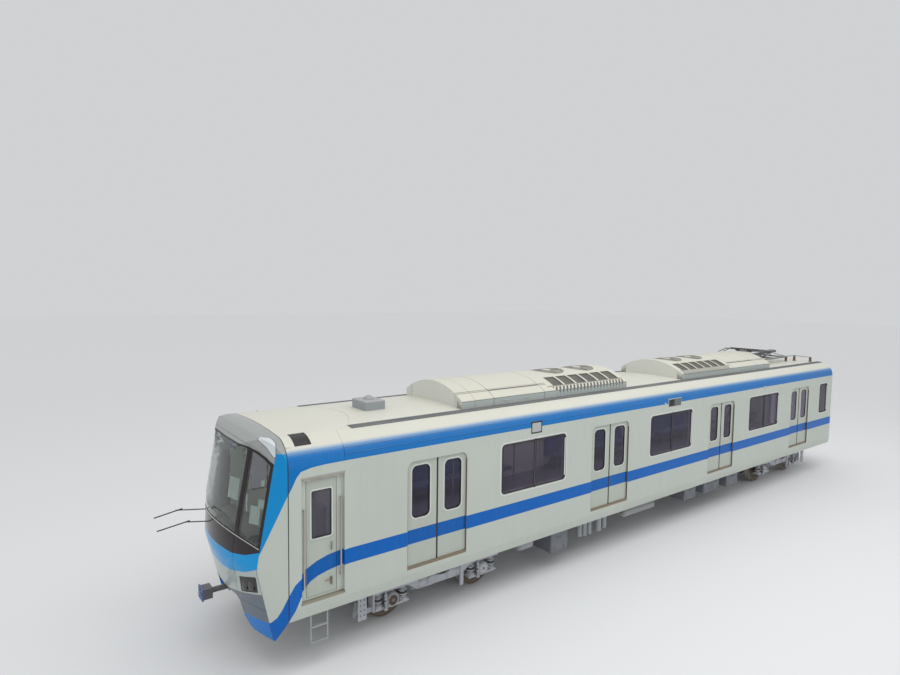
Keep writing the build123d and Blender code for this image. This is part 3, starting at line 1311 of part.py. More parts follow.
def aircon(hatch_end, fan_end):
    """Arched air conditioning case, seated on the roof's crown."""
    hatch_x, fan_x = behind(hatch_end), behind(fan_end)
    inward = 1 if hatch_x > fan_x else -1
    low, high = rail(CANTRAIL), rail(crown_top() + AIRCON_CROWN_RISE) + HINGE_STRIP[1] + CUT
    case = end_prism(aircon_section(0), fan_x, hatch_x)
    case -= plan_prism(aircon_plan(fan_x, inward), low, high) - end_prism(aircon_section(GRILLE_DEPTH), fan_x, hatch_x)
    slots = []
    for index in range(LOUVRE_COUNT):
        for side in (1, -1):
            place = Pos(fan_x + inward * (LOUVRE_PITCH * (index + 1.5)), side * AIRCON_HALF,
                        rail(crown_top() + AIRCON_SIDE_RISE) - LOUVRE_DROP)
            slots.append(place * Rot(0, LOUVRE_LEAN, 0) * Box(*LOUVRE_SIZE))
    case -= slots
    seams = None
    for distance in AIRCON_SEAMS:
        seam = Pos(hatch_x - inward * distance, 0) * Rectangle(AIRCON_SEAM, 2 * AIRCON_HALF + 2 * CUT)
        seams = seam if seams is None else seams + seam
    case -= plan_prism(seams, low, high) - end_prism(aircon_section(AIRCON_SEAM_DEPTH), fan_x, hatch_x)
    start, end = AIRCON_SEAMS[1], AIRCON_SEAMS[2]
    width, rise = HINGE_STRIP
    for side in (1, -1):
        plan = Pos(hatch_x - inward * (start + end) / 2, side * HINGE_STRIP_Y) * Rectangle(end - start - width, width)
        case += plan_prism(plan, low, high) & end_prism(aircon_section(-rise), fan_x, hatch_x)
    return case - roof_body()


def roof_strips():
    """Grooved walkway strips along both sides of the roof's crown."""
    rear, front = behind(BODY_LENGTH - STRIP_REAR_MARGIN), behind(STRIP_FRONT)
    shell = end_prism(offset(roof_section(), STRIP_RISE), rear, front) - roof_body()
    inner = AIRCON_HALF + STRIP_GAP
    strip = shell & block(rear, front, inner, inner + STRIP_WIDTH, rail(CANTRAIL), rail(crown_top()) + STRIP_RISE)
    kept = end_prism(offset(roof_section(), STRIP_RISE - STRIP_GROOVE_DEPTH), rear, front)
    pitch = STRIP_WIDTH / (STRIP_GROOVES + 1)
    for index in range(STRIP_GROOVES):
        y = inner + (index + 1) * pitch
        strip -= block(rear, front, y - STRIP_GROOVE_WIDTH / 2, y + STRIP_GROOVE_WIDTH / 2,
                       rail(CANTRAIL), rail(crown_top()) + STRIP_RISE) - kept
    return [strip]


def antenna():
    """Radio aerial on the roof: box with a dome."""
    length, width = ANTENNA_SIZE
    front = behind(ANTENNA_FRONT)
    top = rail(crown_top() + ANTENNA_RISE)
    box = block(front - length, front, -width / 2, width / 2, rail(CANTRAIL), top)
    box = fillet(box.edges().filter_by(Axis.Z) + box.faces().sort_by(Axis.Z)[-1].edges(), ANTENNA_EDGE)
    dome = Pos(front - length / 2, 0, top + DOME_RISE - DOME_RADIUS) * Sphere(DOME_RADIUS)
    return box + dome - end_prism(roof_section(), front - length - CUT, front + CUT)


# Pantograph

def panto_heights():
    """Underside and top of the base frame, and height of the pivot."""
    low = rail(crown_top() + PANTO_FRAME_RISE)
    return low, low + PANTO_FRAME_DEPTH, low + PANTO_FRAME_DEPTH + PANTO_PIVOT_RISE


def knee_place():
    """X and Z of the knee with the arms folded."""
    angle = math.radians(PANTO_LOWER_RISE)
    return (behind(BODY_LENGTH - PANTO_REAR_MARGIN) - PANTO_LOWER_ARM * math.cos(angle),
            panto_heights()[2] + PANTO_LOWER_ARM * math.sin(angle))


def apex_place():
    """X and Z of the head's shaft with the arms folded."""
    angle = math.radians(PANTO_UPPER_RISE)
    x, z = knee_place()
    return x + PANTO_UPPER_ARM * math.cos(angle), z + PANTO_UPPER_ARM * math.sin(angle)


def insulator(x, y, low, high):
    """Post insulator with sheds, turned about an upright axis."""
    core, shed = INSULATOR_RADII
    step = (high - low) / (INSULATOR_SHEDS + 1)
    points = [(0, low), (core, low)]
    for index in range(INSULATOR_SHEDS):
        z = low + (index + 1) * step
        points += [(core, z - step / 4), (shed, z - step / 4), (core, z + step / 4)]
    points += [(core, high), (0, high)]
    return Pos(x, y, 0) * revolve(make_face(Plane.XZ * Polyline(*points, close=True)), Axis.Z)


def pantograph_base():
    """Base frame on four insulators, with bearings, lift springs, knee rest and busbar to the roof."""
    low, high, pivot_z = panto_heights()
    pivot_x = behind(BODY_LENGTH - PANTO_REAR_MARGIN)
    knee_x, knee_z = knee_place()
    front, rear = pivot_x + PANTO_FRAME_FRONT, knee_x - PANTO_FRAME_OVERHANG
    half = PANTO_RAIL_WIDTH / 2
    ends = (front - half, rear + half)
    roof_level = rail(CANTRAIL)
    below = roof_body(CUT)
    frame = None
    for side in (1, -1):
        runner = block(rear, front, side * PANTO_RAIL_Y - half, side * PANTO_RAIL_Y + half, low, high)
        frame = runner if frame is None else frame + runner
    spring_end = pivot_x - half - LIFT_SPRING_LENGTH
    for x in (*ends, pivot_x, knee_x, spring_end):
        frame += block(x - half, x + half, -PANTO_RAIL_Y, PANTO_RAIL_Y, low, high)
    inner, outer = PANTO_BEARING_Y
    for side in (1, -1):
        frame += block(pivot_x - half, pivot_x + half, side * inner, side * outer, high,
                       pivot_z + PANTO_SHAFT_RADIUS * 1.6)
        frame += rod((spring_end, side * LIFT_SPRING_Y, high), (pivot_x, side * LIFT_SPRING_Y, high), LIFT_SPRING_RADIUS)
        rest = knee_z - PANTO_BOOM_RADIUS - KNEE_REST_GAP - PANTO_HORN_RADIUS
        frame += rod((knee_x, side * PANTO_RAIL_Y, high), (knee_x, 0, rest), PANTO_HORN_RADIUS)
    frame -= cross_bar(pivot_x, pivot_z, outer + CUT, PANTO_SHAFT_RADIUS + PANTO_CLEARANCE)
    for x in ends:
        foot = insulator(x, PANTO_RAIL_Y, roof_level, low) - below
        frame += foot
        frame += mirror(foot, Plane.XZ)
    start = (rear + half, PANTO_RAIL_Y, high)
    for margin, y, rise in BUSBAR_POSTS:
        top = (behind(BODY_LENGTH - margin), y, rail(crown_top() + rise))
        frame += insulator(top[0], y, roof_level, top[2]) - below
        frame += rod(start, top, BUSBAR_RADIUS)
        frame += Pos(*top) * Sphere(2 * BUSBAR_RADIUS)
        start = top
    return frame


def pantograph_lower():
    """Lower arm: pivot shaft, boom, knee shaft and the guide rod under the boom."""
    pivot_x, pivot_z = behind(BODY_LENGTH - PANTO_REAR_MARGIN), panto_heights()[2]
    knee_x, knee_z = knee_place()
    inner, outer = PANTO_BEARING_Y
    arm = cross_bar(pivot_x, pivot_z, outer + PANTO_SHAFT_RADIUS / 2, PANTO_SHAFT_RADIUS)
    arm += cross_bar(pivot_x, pivot_z, inner - AXLE_CLEARANCE, PANTO_SHAFT_RADIUS * 1.4)
    arm += rod((pivot_x, 0, pivot_z), (knee_x, 0, knee_z), PANTO_BOOM_RADIUS)
    arm += cross_bar(knee_x, knee_z, PANTO_BOOM_RADIUS + 10, PANTO_BOOM_RADIUS - 3)
    arm += cross_bar(knee_x, knee_z, PANTO_UPPER_Y + PANTO_TUBE_RADIUS + 11, PANTO_KNEE_RADIUS)
    angle = math.radians(PANTO_LOWER_RISE)
    ends = []
    for distance in (GUIDE_ROD_START, PANTO_LOWER_ARM - GUIDE_ROD_START / 2):
        x, z = pivot_x - distance * math.cos(angle), pivot_z + distance * math.sin(angle)
        below = (x + GUIDE_ROD_DROP * math.sin(angle), 0, z - GUIDE_ROD_DROP * math.cos(angle))
        arm += rod((x, 0, z), below, GUIDE_ROD_RADIUS)
        ends.append(below)
    return arm + rod(*ends, GUIDE_ROD_RADIUS)


def pantograph_upper():
    """Upper arm: two tubes from the knee to the shaft of the head."""
    knee_x, knee_z = knee_place()
    apex_x, apex_z = apex_place()
    arm = cross_bar(apex_x, apex_z, PANTO_CARRIER_Y + 60, PANTO_APEX_RADIUS)
    for side in (1, -1):
        y = side * PANTO_UPPER_Y
        arm += rod((knee_x, y, knee_z), (apex_x, y, apex_z), PANTO_TUBE_RADIUS)
        arm += barrel(knee_x, y - PANTO_TUBE_RADIUS, y + PANTO_TUBE_RADIUS, knee_z, PANTO_KNEE_RADIUS + 16)
    middle_x, middle_z = (2 * apex_x + knee_x) / 3, (2 * apex_z + knee_z) / 3
    arm += cross_bar(middle_x, middle_z, PANTO_UPPER_Y, PANTO_TUBE_RADIUS * 0.7)
    return arm - cross_bar(knee_x, knee_z, 2 * PANTO_UPPER_Y, PANTO_KNEE_RADIUS + PANTO_CLEARANCE)


def pantograph_head():
    """Head: two collector strips with down-turned horns, on two arms that swivel on the apex shaft."""
    apex_x, apex_z = apex_place()
    width, depth = PANTO_STRIP_SIZE
    strip_z = apex_z + 3 * depth
    head = None
    for side in (1, -1):
        y = side * PANTO_CARRIER_Y
        boss = barrel(apex_x, y - 20, y + 20, apex_z, PANTO_APEX_RADIUS + 14)
        carrier = block(apex_x - PANTO_STRIP_SPREAD - width / 2, apex_x + PANTO_STRIP_SPREAD + width / 2,
                        y - 15, y + 15, apex_z + PANTO_APEX_RADIUS, strip_z - depth / 2)
        head = boss + carrier if head is None else head + boss + carrier
    head -= cross_bar(apex_x, apex_z, PANTO_CARRIER_Y + 60, PANTO_APEX_RADIUS + PANTO_CLEARANCE)
    for end in (1, -1):
        x = apex_x + end * PANTO_STRIP_SPREAD
        head += block(x - width / 2, x + width / 2, -PANTO_STRIP_HALF, PANTO_STRIP_HALF, strip_z - depth, strip_z)
        for side in (1, -1):
            head += rod((x, side * (PANTO_STRIP_HALF - width / 2), strip_z - depth / 2),
                        (x, side * PANTO_HEAD_HALF, strip_z - PANTO_HORN_DROP), PANTO_HORN_RADIUS)
    return head


# Couplers

def coupler():
    """Front coupler: shank, collar and head with its faceplate."""
    x, z = CAB_JOINT_X, rail(COUPLER_HEIGHT)
    plate_y, plate_z, plate_depth = COUPLER_PLATE
    head_y, head_z, head_length = COUPLER_HEAD
    collar_radius, collar_length = COUPLER_COLLAR
    pocket_rear, pocket_front = COUPLER_POCKET
    face = x + COUPLER_FACE
    back = face - plate_depth
    body = rod((x + pocket_rear, 0, z), (back - head_length / 2, 0, z), COUPLER_SHANK_RADIUS)
    body += rod((x + COUPLER_COLLAR_X, 0, z), (x + COUPLER_COLLAR_X + collar_length, 0, z), collar_radius)
    body += block(back - head_length, back, -head_y, head_y, z - head_z, z + head_z)
    body += block(back, face, -plate_y, plate_y, z - plate_z, z + plate_z)
    return body + block(x + pocket_rear, x + pocket_front, -POCKET_HALF, POCKET_HALF, z - POCKET_DROP,
                        rail(FLOOR_TOP - FLOOR_THICKNESS))


def drawbar():
    """Rear half of the bar that joins the next car, with its bolting flange."""
    x, z = behind(BODY_LENGTH), rail(DRAWBAR_HEIGHT)
    flange_radius, flange_depth = DRAWBAR_FLANGE
    pocket_rear, pocket_front = DRAWBAR_POCKET
    body = rod((x + pocket_rear, 0, z), (x - REAR_BUFFER, 0, z), DRAWBAR_RADIUS)
    body += rod((x - REAR_BUFFER + flange_depth, 0, z), (x - REAR_BUFFER, 0, z), flange_radius)
    return body + block(x + pocket_rear, x + pocket_front, -POCKET_HALF, POCKET_HALF, z - POCKET_DROP,
                        rail(FLOOR_TOP - FLOOR_THICKNESS))


# Cab and saloon fittings

def cab_floor():
    """Cab floor inside the nose, with the end beam above the coupler."""
    x = CAB_JOINT_X
    left = [(x + reach, HALF_WIDTH - inset) for reach, inset in CAB_FLOOR_PLAN]
    right = [(px, -py) for px, py in reversed(left)]
    deck = plan_prism(make_face(Polyline(*left, *right, close=True)), rail(FLOOR_TOP - FLOOR_THICKNESS), rail(FLOOR_TOP))
    rear, front, height = CAB_BEAM
    half = left[-1][1]
    return deck + block(x + rear, x + front, -half, half, rail(FLOOR_TOP), rail(FLOOR_TOP + height))


def driver_desk():
    """Driver's desk with its sloped instrument face."""
    outline = [(CAB_JOINT_X + x, rail(FLOOR_TOP + z)) for x, z in DESK_PROFILE]
    return side_prism(make_face(Polyline(*outline, close=True)), -DESK_HALF, DESK_HALF)


def driver_seat():
    """Driver's seat on its pedestal."""
    x, y, floor_z = behind(DRIVER_STATION), DRIVER_Y, rail(FLOOR_TOP)
    half, height, cushion = DRIVER_SEAT_HALF, DRIVER_SEAT_HEIGHT, DRIVER_CUSHION
    seat = rod((x, y, floor_z), (x, y, floor_z + cushion / 5), half - cushion / 5)
    seat += rod((x, y, floor_z), (x, y, floor_z + height), cushion / 2)
    seat += block(x - half, x + half, y - half, y + half, floor_z + height, floor_z + height + cushion)
    return seat + block(x - half, x - half + cushion, y - half, y + half, floor_z + height + cushion,
                        floor_z + height + cushion + DRIVER_BACK)


def seats():
    """Left benches along the saloon wall: back, cushion pan and the heater case below them."""
    floor_z, wall = rail(FLOOR_TOP), LINING_PLANE
    thin, thick = SEAT_BACK
    top = floor_z + SEAT_HEIGHT
    back = make_face(Polyline((wall, top + PANEL_JOINT), (wall, floor_z + SEAT_BACK_HEIGHT),
                              (wall - thin, floor_z + SEAT_BACK_HEIGHT), (wall - thick, top + PANEL_JOINT), close=True))
    pan = make_face(Polyline((wall, top), (wall - SEAT_DEPTH, top), (wall - SEAT_DEPTH, top - SEAT_THICKNESS),
                             (wall, top - SEAT_THICKNESS), close=True))
    low = top - SEAT_THICKNESS - PANEL_JOINT
    heater = make_face(Polyline((wall, low), (wall - 2 * SEAT_HEATER, low), (wall - SEAT_HEATER, floor_z + SEAT_FOOT),
                                (wall, floor_z + SEAT_FOOT), close=True))
    return [end_prism(section, behind(rear), behind(front))
            for front, rear in SEAT_TABLE for section in (back, pan, heater)]


def grab_poles():
    """Left poles from floor to ceiling and the overhead rails between them."""
    y, high = LINING_PLANE - POLE_INSET, rail(OVERHEAD_RAIL)
    tubes = []
    for front, rear in SEAT_TABLE:
        gap = POLE_RADIUS + POLE_JOINT
        tubes.append(rod((behind(rear) + gap, y, high), (behind(front) - gap, y, high), POLE_RADIUS))
        for station in (front, rear):
            x = behind(station)
            tubes.append(rod((x, y, rail(FLOOR_TOP)), (x, y, rail(CEILING)), POLE_RADIUS))
    return tubes


# Below the floor

def equipment_cases():
    """Cases with raised lids, hung from the underframe rails."""
    top = rail(UNDERFRAME_BOTTOM)
    cases = []
    for front, rear, inner, side, bottom, lids in CASE_TABLE:
        low = rail(bottom)
        case = block(behind(rear), behind(front), side * inner, side * UNDER_HALF, low, top)
        width = (rear - front) / lids
        for index in range(lids):
            edge = behind(rear) + index * width
            case += block(edge + LID_MARGIN, edge + width - LID_MARGIN, side * UNDER_HALF,
                          side * (UNDER_HALF + LID_RISE), low + LID_MARGIN, top - 2 * LID_MARGIN)
        cases.append(case)
    return cases


def air_tanks():
    """Air cylinders with domed ends on hangers, and the upright dryer towers."""
    top = rail(UNDERFRAME_BOTTOM)
    length, width = HANGER
    tanks = []
    for front, rear, inset, height, radius in TANK_TABLE:
        y, z = UNDER_HALF - inset, rail(height)
        dome = radius * TANK_DOME
        half = (rear - front) / 2
        dish = (radius * radius + dome * dome) / (2 * dome)
        outline = Line((-half, 0), (half, 0))
        outline += RadiusArc((half, 0), (half - dome, radius), -dish)
        outline += Line((half - dome, radius), (dome - half, radius))
        outline += RadiusArc((dome - half, radius), (-half, 0), -dish)
        tank = Pos(behind((front + rear) / 2), y, z) * revolve(make_face(outline), Axis.X)
        for x in (behind(rear) + HANGER_INSET, behind(front) - HANGER_INSET):
            tank += block(x - length / 2, x + length / 2, y - width / 2, y + width / 2, z, top)
        tanks.append(tank)
    for station, inset, radius, bottom in TOWER_TABLE:
        x, y = behind(station), UNDER_HALF - inset
        tanks.append(rod((x, y, rail(bottom)), (x, y, top), radius))
    return tanks


LEFT_WALL = [side_wall()]
CAB_DOOR = cab_door()
NODES = {
    "side_wall_left": LEFT_WALL,
    "side_wall_right": mirrored(LEFT_WALL),
    "roof": [roof()],
    "floor": [floor()],
    "end_wall": [end_wall()],
    "cab_bulkhead": [bulkhead()],
    "nose": [nose()],
    "windscreen": windscreen(),
    "side_linings": both_sides(side_linings()),
    "door_sills": both_sides(door_sills()),
    "side_glass": both_sides(side_glass()),
    "window_frames": both_sides(window_frames()),
    "bolsters": pivots(),
    "cab_door_left": CAB_DOOR,
    "cab_door_right": mirrored(CAB_DOOR),
    "bulkhead_door": bulkhead_door(),
    "cab_floor": [cab_floor()],
    "driver_desk": [driver_desk()],
    "driver_seat": [driver_seat()],
    "headlamps": headlamps(),
    "wipers": wipers(),
    "cab_steps": both_sides(cab_steps()),
    "cab_rails": both_sides(cab_rails()),
    "seats": both_sides(seats()),
    "grab_poles": both_sides(grab_poles()),
    "equipment_cases": equipment_cases(),
    "air_tanks": air_tanks(),
    "roof_strips": both_sides(roof_strips()),
    "antenna": [antenna()],
    "coupler": [coupler()],
    "drawbar": [drawbar()],
    "gangway": [gangway()],
    "pantograph_base": [pantograph_base()],
    "pantograph_lower": [pantograph_lower()],
    "pantograph_upper": [pantograph_upper()],
    "pantograph_head": [pantograph_head()],
}
for node, hatch_end, fan_end in AIRCON_TABLE:
    NODES[node] = [aircon(hatch_end, fan_end)]
for number, station in enumerate(DOOR_STATIONS, start=1):
    for letter, direction in (("front", 1), ("rear", -1)):
        leaf = door_leaf(station, direction)
        NODES[f"door_{number}_left_{letter}"] = leaf
        NODES[f"door_{number}_right_{letter}"] = mirrored(leaf)
for number, (name, station) in enumerate(zip(("front", "rear"), BOGIE_STATIONS)):
    NODES[f"bogie_{name}"] = [bogie(station)]
    for axle, end in ((1, 1), (2, -1)):
        NODES[f"wheelset_{number * 2 + axle}"] = [wheelset(behind(station) + end * WHEELBASE / 2)]

os.makedirs("parts", exist_ok=True)
for node, solids in NODES.items():
    shape = solids[0] if len(solids) == 1 else Compound(children=solids)
    export_step(shape, f"parts/{node}.step")
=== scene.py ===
import json
import math
from contextlib import contextmanager

import bpy
from mathutils import Matrix, Vector

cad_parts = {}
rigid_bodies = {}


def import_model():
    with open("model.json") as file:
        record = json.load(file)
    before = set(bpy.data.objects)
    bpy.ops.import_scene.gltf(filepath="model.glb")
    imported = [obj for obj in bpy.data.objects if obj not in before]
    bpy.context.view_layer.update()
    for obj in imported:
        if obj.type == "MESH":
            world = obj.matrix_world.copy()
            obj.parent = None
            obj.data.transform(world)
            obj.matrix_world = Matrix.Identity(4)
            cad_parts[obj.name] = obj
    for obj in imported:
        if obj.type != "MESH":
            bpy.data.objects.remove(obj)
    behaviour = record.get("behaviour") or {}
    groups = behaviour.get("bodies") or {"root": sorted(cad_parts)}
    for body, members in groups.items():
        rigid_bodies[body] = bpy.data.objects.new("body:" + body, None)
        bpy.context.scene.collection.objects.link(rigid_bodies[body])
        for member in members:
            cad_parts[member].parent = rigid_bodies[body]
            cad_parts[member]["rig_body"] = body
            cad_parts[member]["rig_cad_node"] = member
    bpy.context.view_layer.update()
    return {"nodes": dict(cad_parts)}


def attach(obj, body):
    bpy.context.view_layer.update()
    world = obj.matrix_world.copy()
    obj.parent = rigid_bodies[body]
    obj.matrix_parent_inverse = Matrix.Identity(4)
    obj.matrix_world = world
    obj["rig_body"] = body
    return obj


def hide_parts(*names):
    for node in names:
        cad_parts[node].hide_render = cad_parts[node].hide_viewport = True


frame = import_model()
nodes = frame["nodes"]

# The view: an overhead walkway ahead of the car on its left, looking back along the side through
# a wide lens.
LENS_PIXELS, FRAME_PIXELS, SENSOR = 589.45, 900, 36
VIEW_YAW, VIEW_PITCH, VIEW_ROLL = math.radians(-126.94), math.radians(-4.135), math.radians(0.696)
bpy.ops.object.select_all(action="DESELECT")
bpy.ops.object.camera_add(location=(12.4917, 9.7804, 5.8816))
camera = bpy.context.object
camera.name = "camera"
forward = Vector((math.cos(VIEW_YAW) * math.cos(VIEW_PITCH), math.sin(VIEW_YAW) * math.cos(VIEW_PITCH),
                  math.sin(VIEW_PITCH)))
level = Vector((math.sin(VIEW_YAW), -math.cos(VIEW_YAW), 0))
upward = level.cross(forward)
turned = Matrix((level * math.cos(VIEW_ROLL) + upward * math.sin(VIEW_ROLL),
                 upward * math.cos(VIEW_ROLL) - level * math.sin(VIEW_ROLL), -forward)).transposed()
camera.rotation_euler = turned.to_euler()
camera.data.sensor_width = SENSOR
camera.data.lens = SENSOR * LENS_PIXELS / FRAME_PIXELS
camera.data.clip_end = 400
bpy.context.scene.camera = camera
bpy.context.scene.view_settings.view_transform = "Standard"


# Shader building: each material is a tree of nodes on one principled shader. Colours are written
# as they look on a screen. A field is a number or colour that varies over a surface, and
# arithmetic on fields makes math nodes.
def tone(red, green, blue):
    """Colour of a shader from screen values between 0 and 255."""
    parts = [value / 255 for value in (red, green, blue)]
    return tuple(((v + 0.055) / 1.055) ** 2.4 if v > 0.04045 else v / 12.92 for v in parts) + (1.0,)


class Field:
    """Output of a shader node that takes part in arithmetic."""

    def __init__(self, socket):
        self.socket = socket
        self.tree = socket.id_data

    def __add__(self, other):
        return calc("ADD", self, other)

    def __radd__(self, other):
        return calc("ADD", other, self)

    def __sub__(self, other):
        return calc("SUBTRACT", self, other)

    def __rsub__(self, other):
        return calc("SUBTRACT", other, self)

    def __mul__(self, other):
        return calc("MULTIPLY", self, other)

    def __truediv__(self, other):
        return calc("DIVIDE", self, other)

    def __mod__(self, other):
        return calc("FLOORED_MODULO", self, other)

    def __abs__(self):
        return calc("ABSOLUTE", self)


def join(value, socket):
    """Links a field to a socket, or sets a plain value on it."""
    if isinstance(value, Field):
        value.tree.links.new(value.socket, socket)
    else:
        socket.default_value = value


def tree_of(*values):
    """Tree that the fields among some values belong to."""
    return next(value.tree for value in values if isinstance(value, Field))


def add_node(tree, kind, settings=None, **inputs):
    """Adds a shader node, sets its inputs by name and returns it."""
    made = tree.nodes.new("ShaderNode" + kind)
    for key, value in (settings or {}).items():
        setattr(made, key, value)
    for key, value in inputs.items():
        join(value, made.inputs[key.replace("_", " ")])
    return made


def calc(operation, *values, clamp=False):
    """Math node on fields and numbers; returns its result."""
    made = add_node(tree_of(*values), "Math", {"operation": operation, "use_clamp": clamp})
    for value, socket in zip(values, made.inputs):
        join(value, socket)
    return Field(made.outputs[0])


def above(value, edge, soft=0.004):
    """1 where the value is past the edge, 0 before it."""
    return calc("ADD", (value - edge) / soft, 0.5, clamp=True)


def mix_tone(factor, first, second, way="MIX"):
    """Mixes two colours."""
    made = add_node(tree_of(factor, first, second), "Mix", {"data_type": "RGBA", "blend_type": way})
    for value, index in ((factor, 0), (first, 6), (second, 7)):
        join(value, made.inputs[index])
    return Field(made.outputs[2])


def here(tree):
    """Coordinates on the object itself."""
    return Field(add_node(tree, "TexCoord").outputs["Object"])


def split(vector):
    """The three parts of a vector."""
    return [Field(part) for part in add_node(vector.tree, "SeparateXYZ", Vector=vector).outputs]


def facing(tree):
    """The three parts of the direction that a face looks in."""
    return split(Field(add_node(tree, "NewGeometry").outputs["Normal"]))


def pattern(tree, kind, output=0, settings=None, **inputs):
    """Texture, on the object's own coordinates unless it is given others."""
    if "Vector" not in inputs:
        inputs["Vector"] = here(tree)
    return Field(add_node(tree, "Tex" + kind, settings, **inputs).outputs[output])


def new_group(name, inputs, outputs):
    """Shader node group with inputs (name, kind, default) and outputs (name, kind), and its end node."""
    group = bpy.data.node_groups.new(name, "ShaderNodeTree")
    for label, kind, default in inputs:
        socket = group.interface.new_socket(label, in_out="INPUT", socket_type="NodeSocket" + kind)
        socket.default_value = default
    for label, kind in outputs:
        group.interface.new_socket(label, in_out="OUTPUT", socket_type="NodeSocket" + kind)
    return group, group.nodes.new("NodeGroupOutput")


def use_group(tree, group, *wanted, **inputs):
    """Places a node group in a tree and returns its wanted outputs."""
    made = tree.nodes.new("ShaderNodeGroup")
    made.node_tree = group
    for key, value in inputs.items():
        join(value, made.inputs[key])
    found = [Field(made.outputs[name]) for name in wanted]
    return found if len(found) > 1 else found[0]


# Place group: where a point is on the car. Places are distances ahead of the joint between nose
# and body, from the centre line (the side has a sign), and above the rail head. Doors, windows,
# axles, cases and benches are listed by their distance behind the joint.
JOINT, RAIL = 9.2215, 0.028
PLACES = ("Along", "Across", "Height", "Side")
place_group, place_out = new_group("place on the car", [], [(name, "Float") for name in PLACES])
x, y, z = split(here(place_group))
for name, value in zip(PLACES, (x - JOINT, abs(y), z - RAIL, y)):
    join(value, place_out.inputs[name])


def place_of(tree, *wanted):
    """Where a point is on the car, by the names of the place group's outputs."""
    return use_group(tree, place_group, *wanted)


# Weathering group: depot dust on faces that look up, faint runs down the sides and brown
# soil that thickens towards the rail. It changes a colour and a roughness, and gives a height.
WEATHER = (("Colour", "Color", (1, 1, 1, 1)), ("Roughness", "Float", 0.5), ("Dust", "Float", 0.2),
           ("Runs", "Float", 0.1), ("Soil", "Float", 0.1), ("Grain", "Float", 60.0))
SOIL_TOP, SOIL_DEPTH = 1.15, 0.9
weather_group, weather_out = new_group(
    "weathering", WEATHER, [("Colour", "Color"), ("Roughness", "Float"), ("Height", "Float")])
given = weather_group.nodes.new("NodeGroupInput")
shade, rough, dusty, streaky, soiled, grain = (Field(given.outputs[name]) for name, _, _ in WEATHER)
cloud = pattern(weather_group, "Noise", Scale=0.9, Detail=6.0, Roughness=0.62)
fine = pattern(weather_group, "Noise", Scale=grain, Detail=3.0)
stretched = Field(add_node(weather_group, "Mapping", Vector=here(weather_group),
                           Scale=(9, 9, 0.5)).outputs[0])
runs = pattern(weather_group, "Noise", Vector=stretched, Scale=1.4, Detail=5.0, Roughness=0.7)
dust = calc("MAXIMUM", facing(weather_group)[2], 0.0) * above(cloud, 0.5, 0.5) * dusty * (fine * 0.6 + 0.7)
low = calc("DIVIDE", SOIL_TOP - place_of(weather_group, "Height"), SOIL_DEPTH, clamp=True)
soil = low * soiled * above(cloud * 0.5 + fine * 0.5, 0.46, 0.3)
shade = mix_tone(cloud * 0.12, shade, tone(120, 124, 120), "MULTIPLY")
shade = mix_tone(above(runs, 0.56, 0.22) * streaky, shade, tone(134, 128, 116))
shade = mix_tone(soil, shade, tone(98, 84, 70))
join(mix_tone(dust, shade, tone(196, 190, 176)), weather_out.inputs["Colour"])
rough = calc("ADD", rough + (dust + soil) * 0.35, (fine - 0.5) * 0.08, clamp=True)
join(rough, weather_out.inputs["Roughness"])
join(fine, weather_out.inputs["Height"])


def start_material(name):
    """New material and its tree."""
    made = bpy.data.materials.new(name)
    made.use_nodes = True
    return made, made.node_tree


def set_shader(tree, **inputs):
    """Sets inputs of a material's shader by name."""
    for key, value in inputs.items():
        join(value, tree.nodes["Principled BSDF"].inputs[key.replace("_", " ")])


def weathered(name, colour, roughness=0.45, metallic=0.0, dust=0.3, runs=0.15, soil=0.2, grain=60.0,
              bump=0.15, coat=0.0, shine=0.5):
    """Material of one colour, or of one that a function makes in its tree, with weathering over it."""
    made, tree = start_material(name)
    if callable(colour):
        colour = colour(tree)
    worn, rough, height = use_group(tree, weather_group, "Colour", "Roughness", "Height", Colour=colour,
                                    Roughness=roughness, Dust=dust, Runs=runs, Soil=soil, Grain=grain)
    relief = add_node(tree, "Bump", Strength=bump, Distance=0.002, Height=height)
    set_shader(tree, Base_Color=worn, Roughness=rough, Metallic=metallic, Coat_Weight=coat,
               Specular_IOR_Level=shine, Normal=Field(relief.outputs[0]))
    return made


# Livery: pale body with a blue band along the roof's edge and a blue stripe below the windows.
# Both sweep down over the cab door and the nose; each edge is a curve of height over place.
PALE = tone(191, 198, 189)
BLUE = tone(0, 98, 184)
SKY_BLUE = tone(0, 112, 186)
SWEEP_START, SWEEP_LENGTH = -1.0, 1.6
STRIPE_TOP = ((-1.0, 1.775), (-0.9, 1.765), (-0.66, 1.736), (-0.46, 1.68), (-0.28, 1.59), (-0.19, 1.49),
              (-0.09, 1.415), (0, 1.285), (0.02, 1.243), (0.10, 1.07), (0.164, 0.961), (0.245, 0.892),
              (0.33, 0.874), (0.6, 0.87))
STRIPE_FOOT = ((-1.0, 1.525), (-0.89, 1.515), (-0.66, 1.48), (-0.49, 1.44), (-0.36, 1.38), (-0.255, 1.28),
               (-0.19, 1.20), (-0.10, 1.02), (0, 0.873), (0.08, 0.5), (0.6, 0.3))
BAND_FOOT = ((-1.0, 3.22), (-0.6, 3.215), (-0.37, 3.20), (-0.19, 3.16), (-0.12, 3.075), (-0.06, 2.956),
             (0, 2.85), (0.137, 2.54), (0.292, 2.21), (0.413, 1.96), (0.463, 1.80), (0.6, 1.5))
BAND_HEAD = 3.475


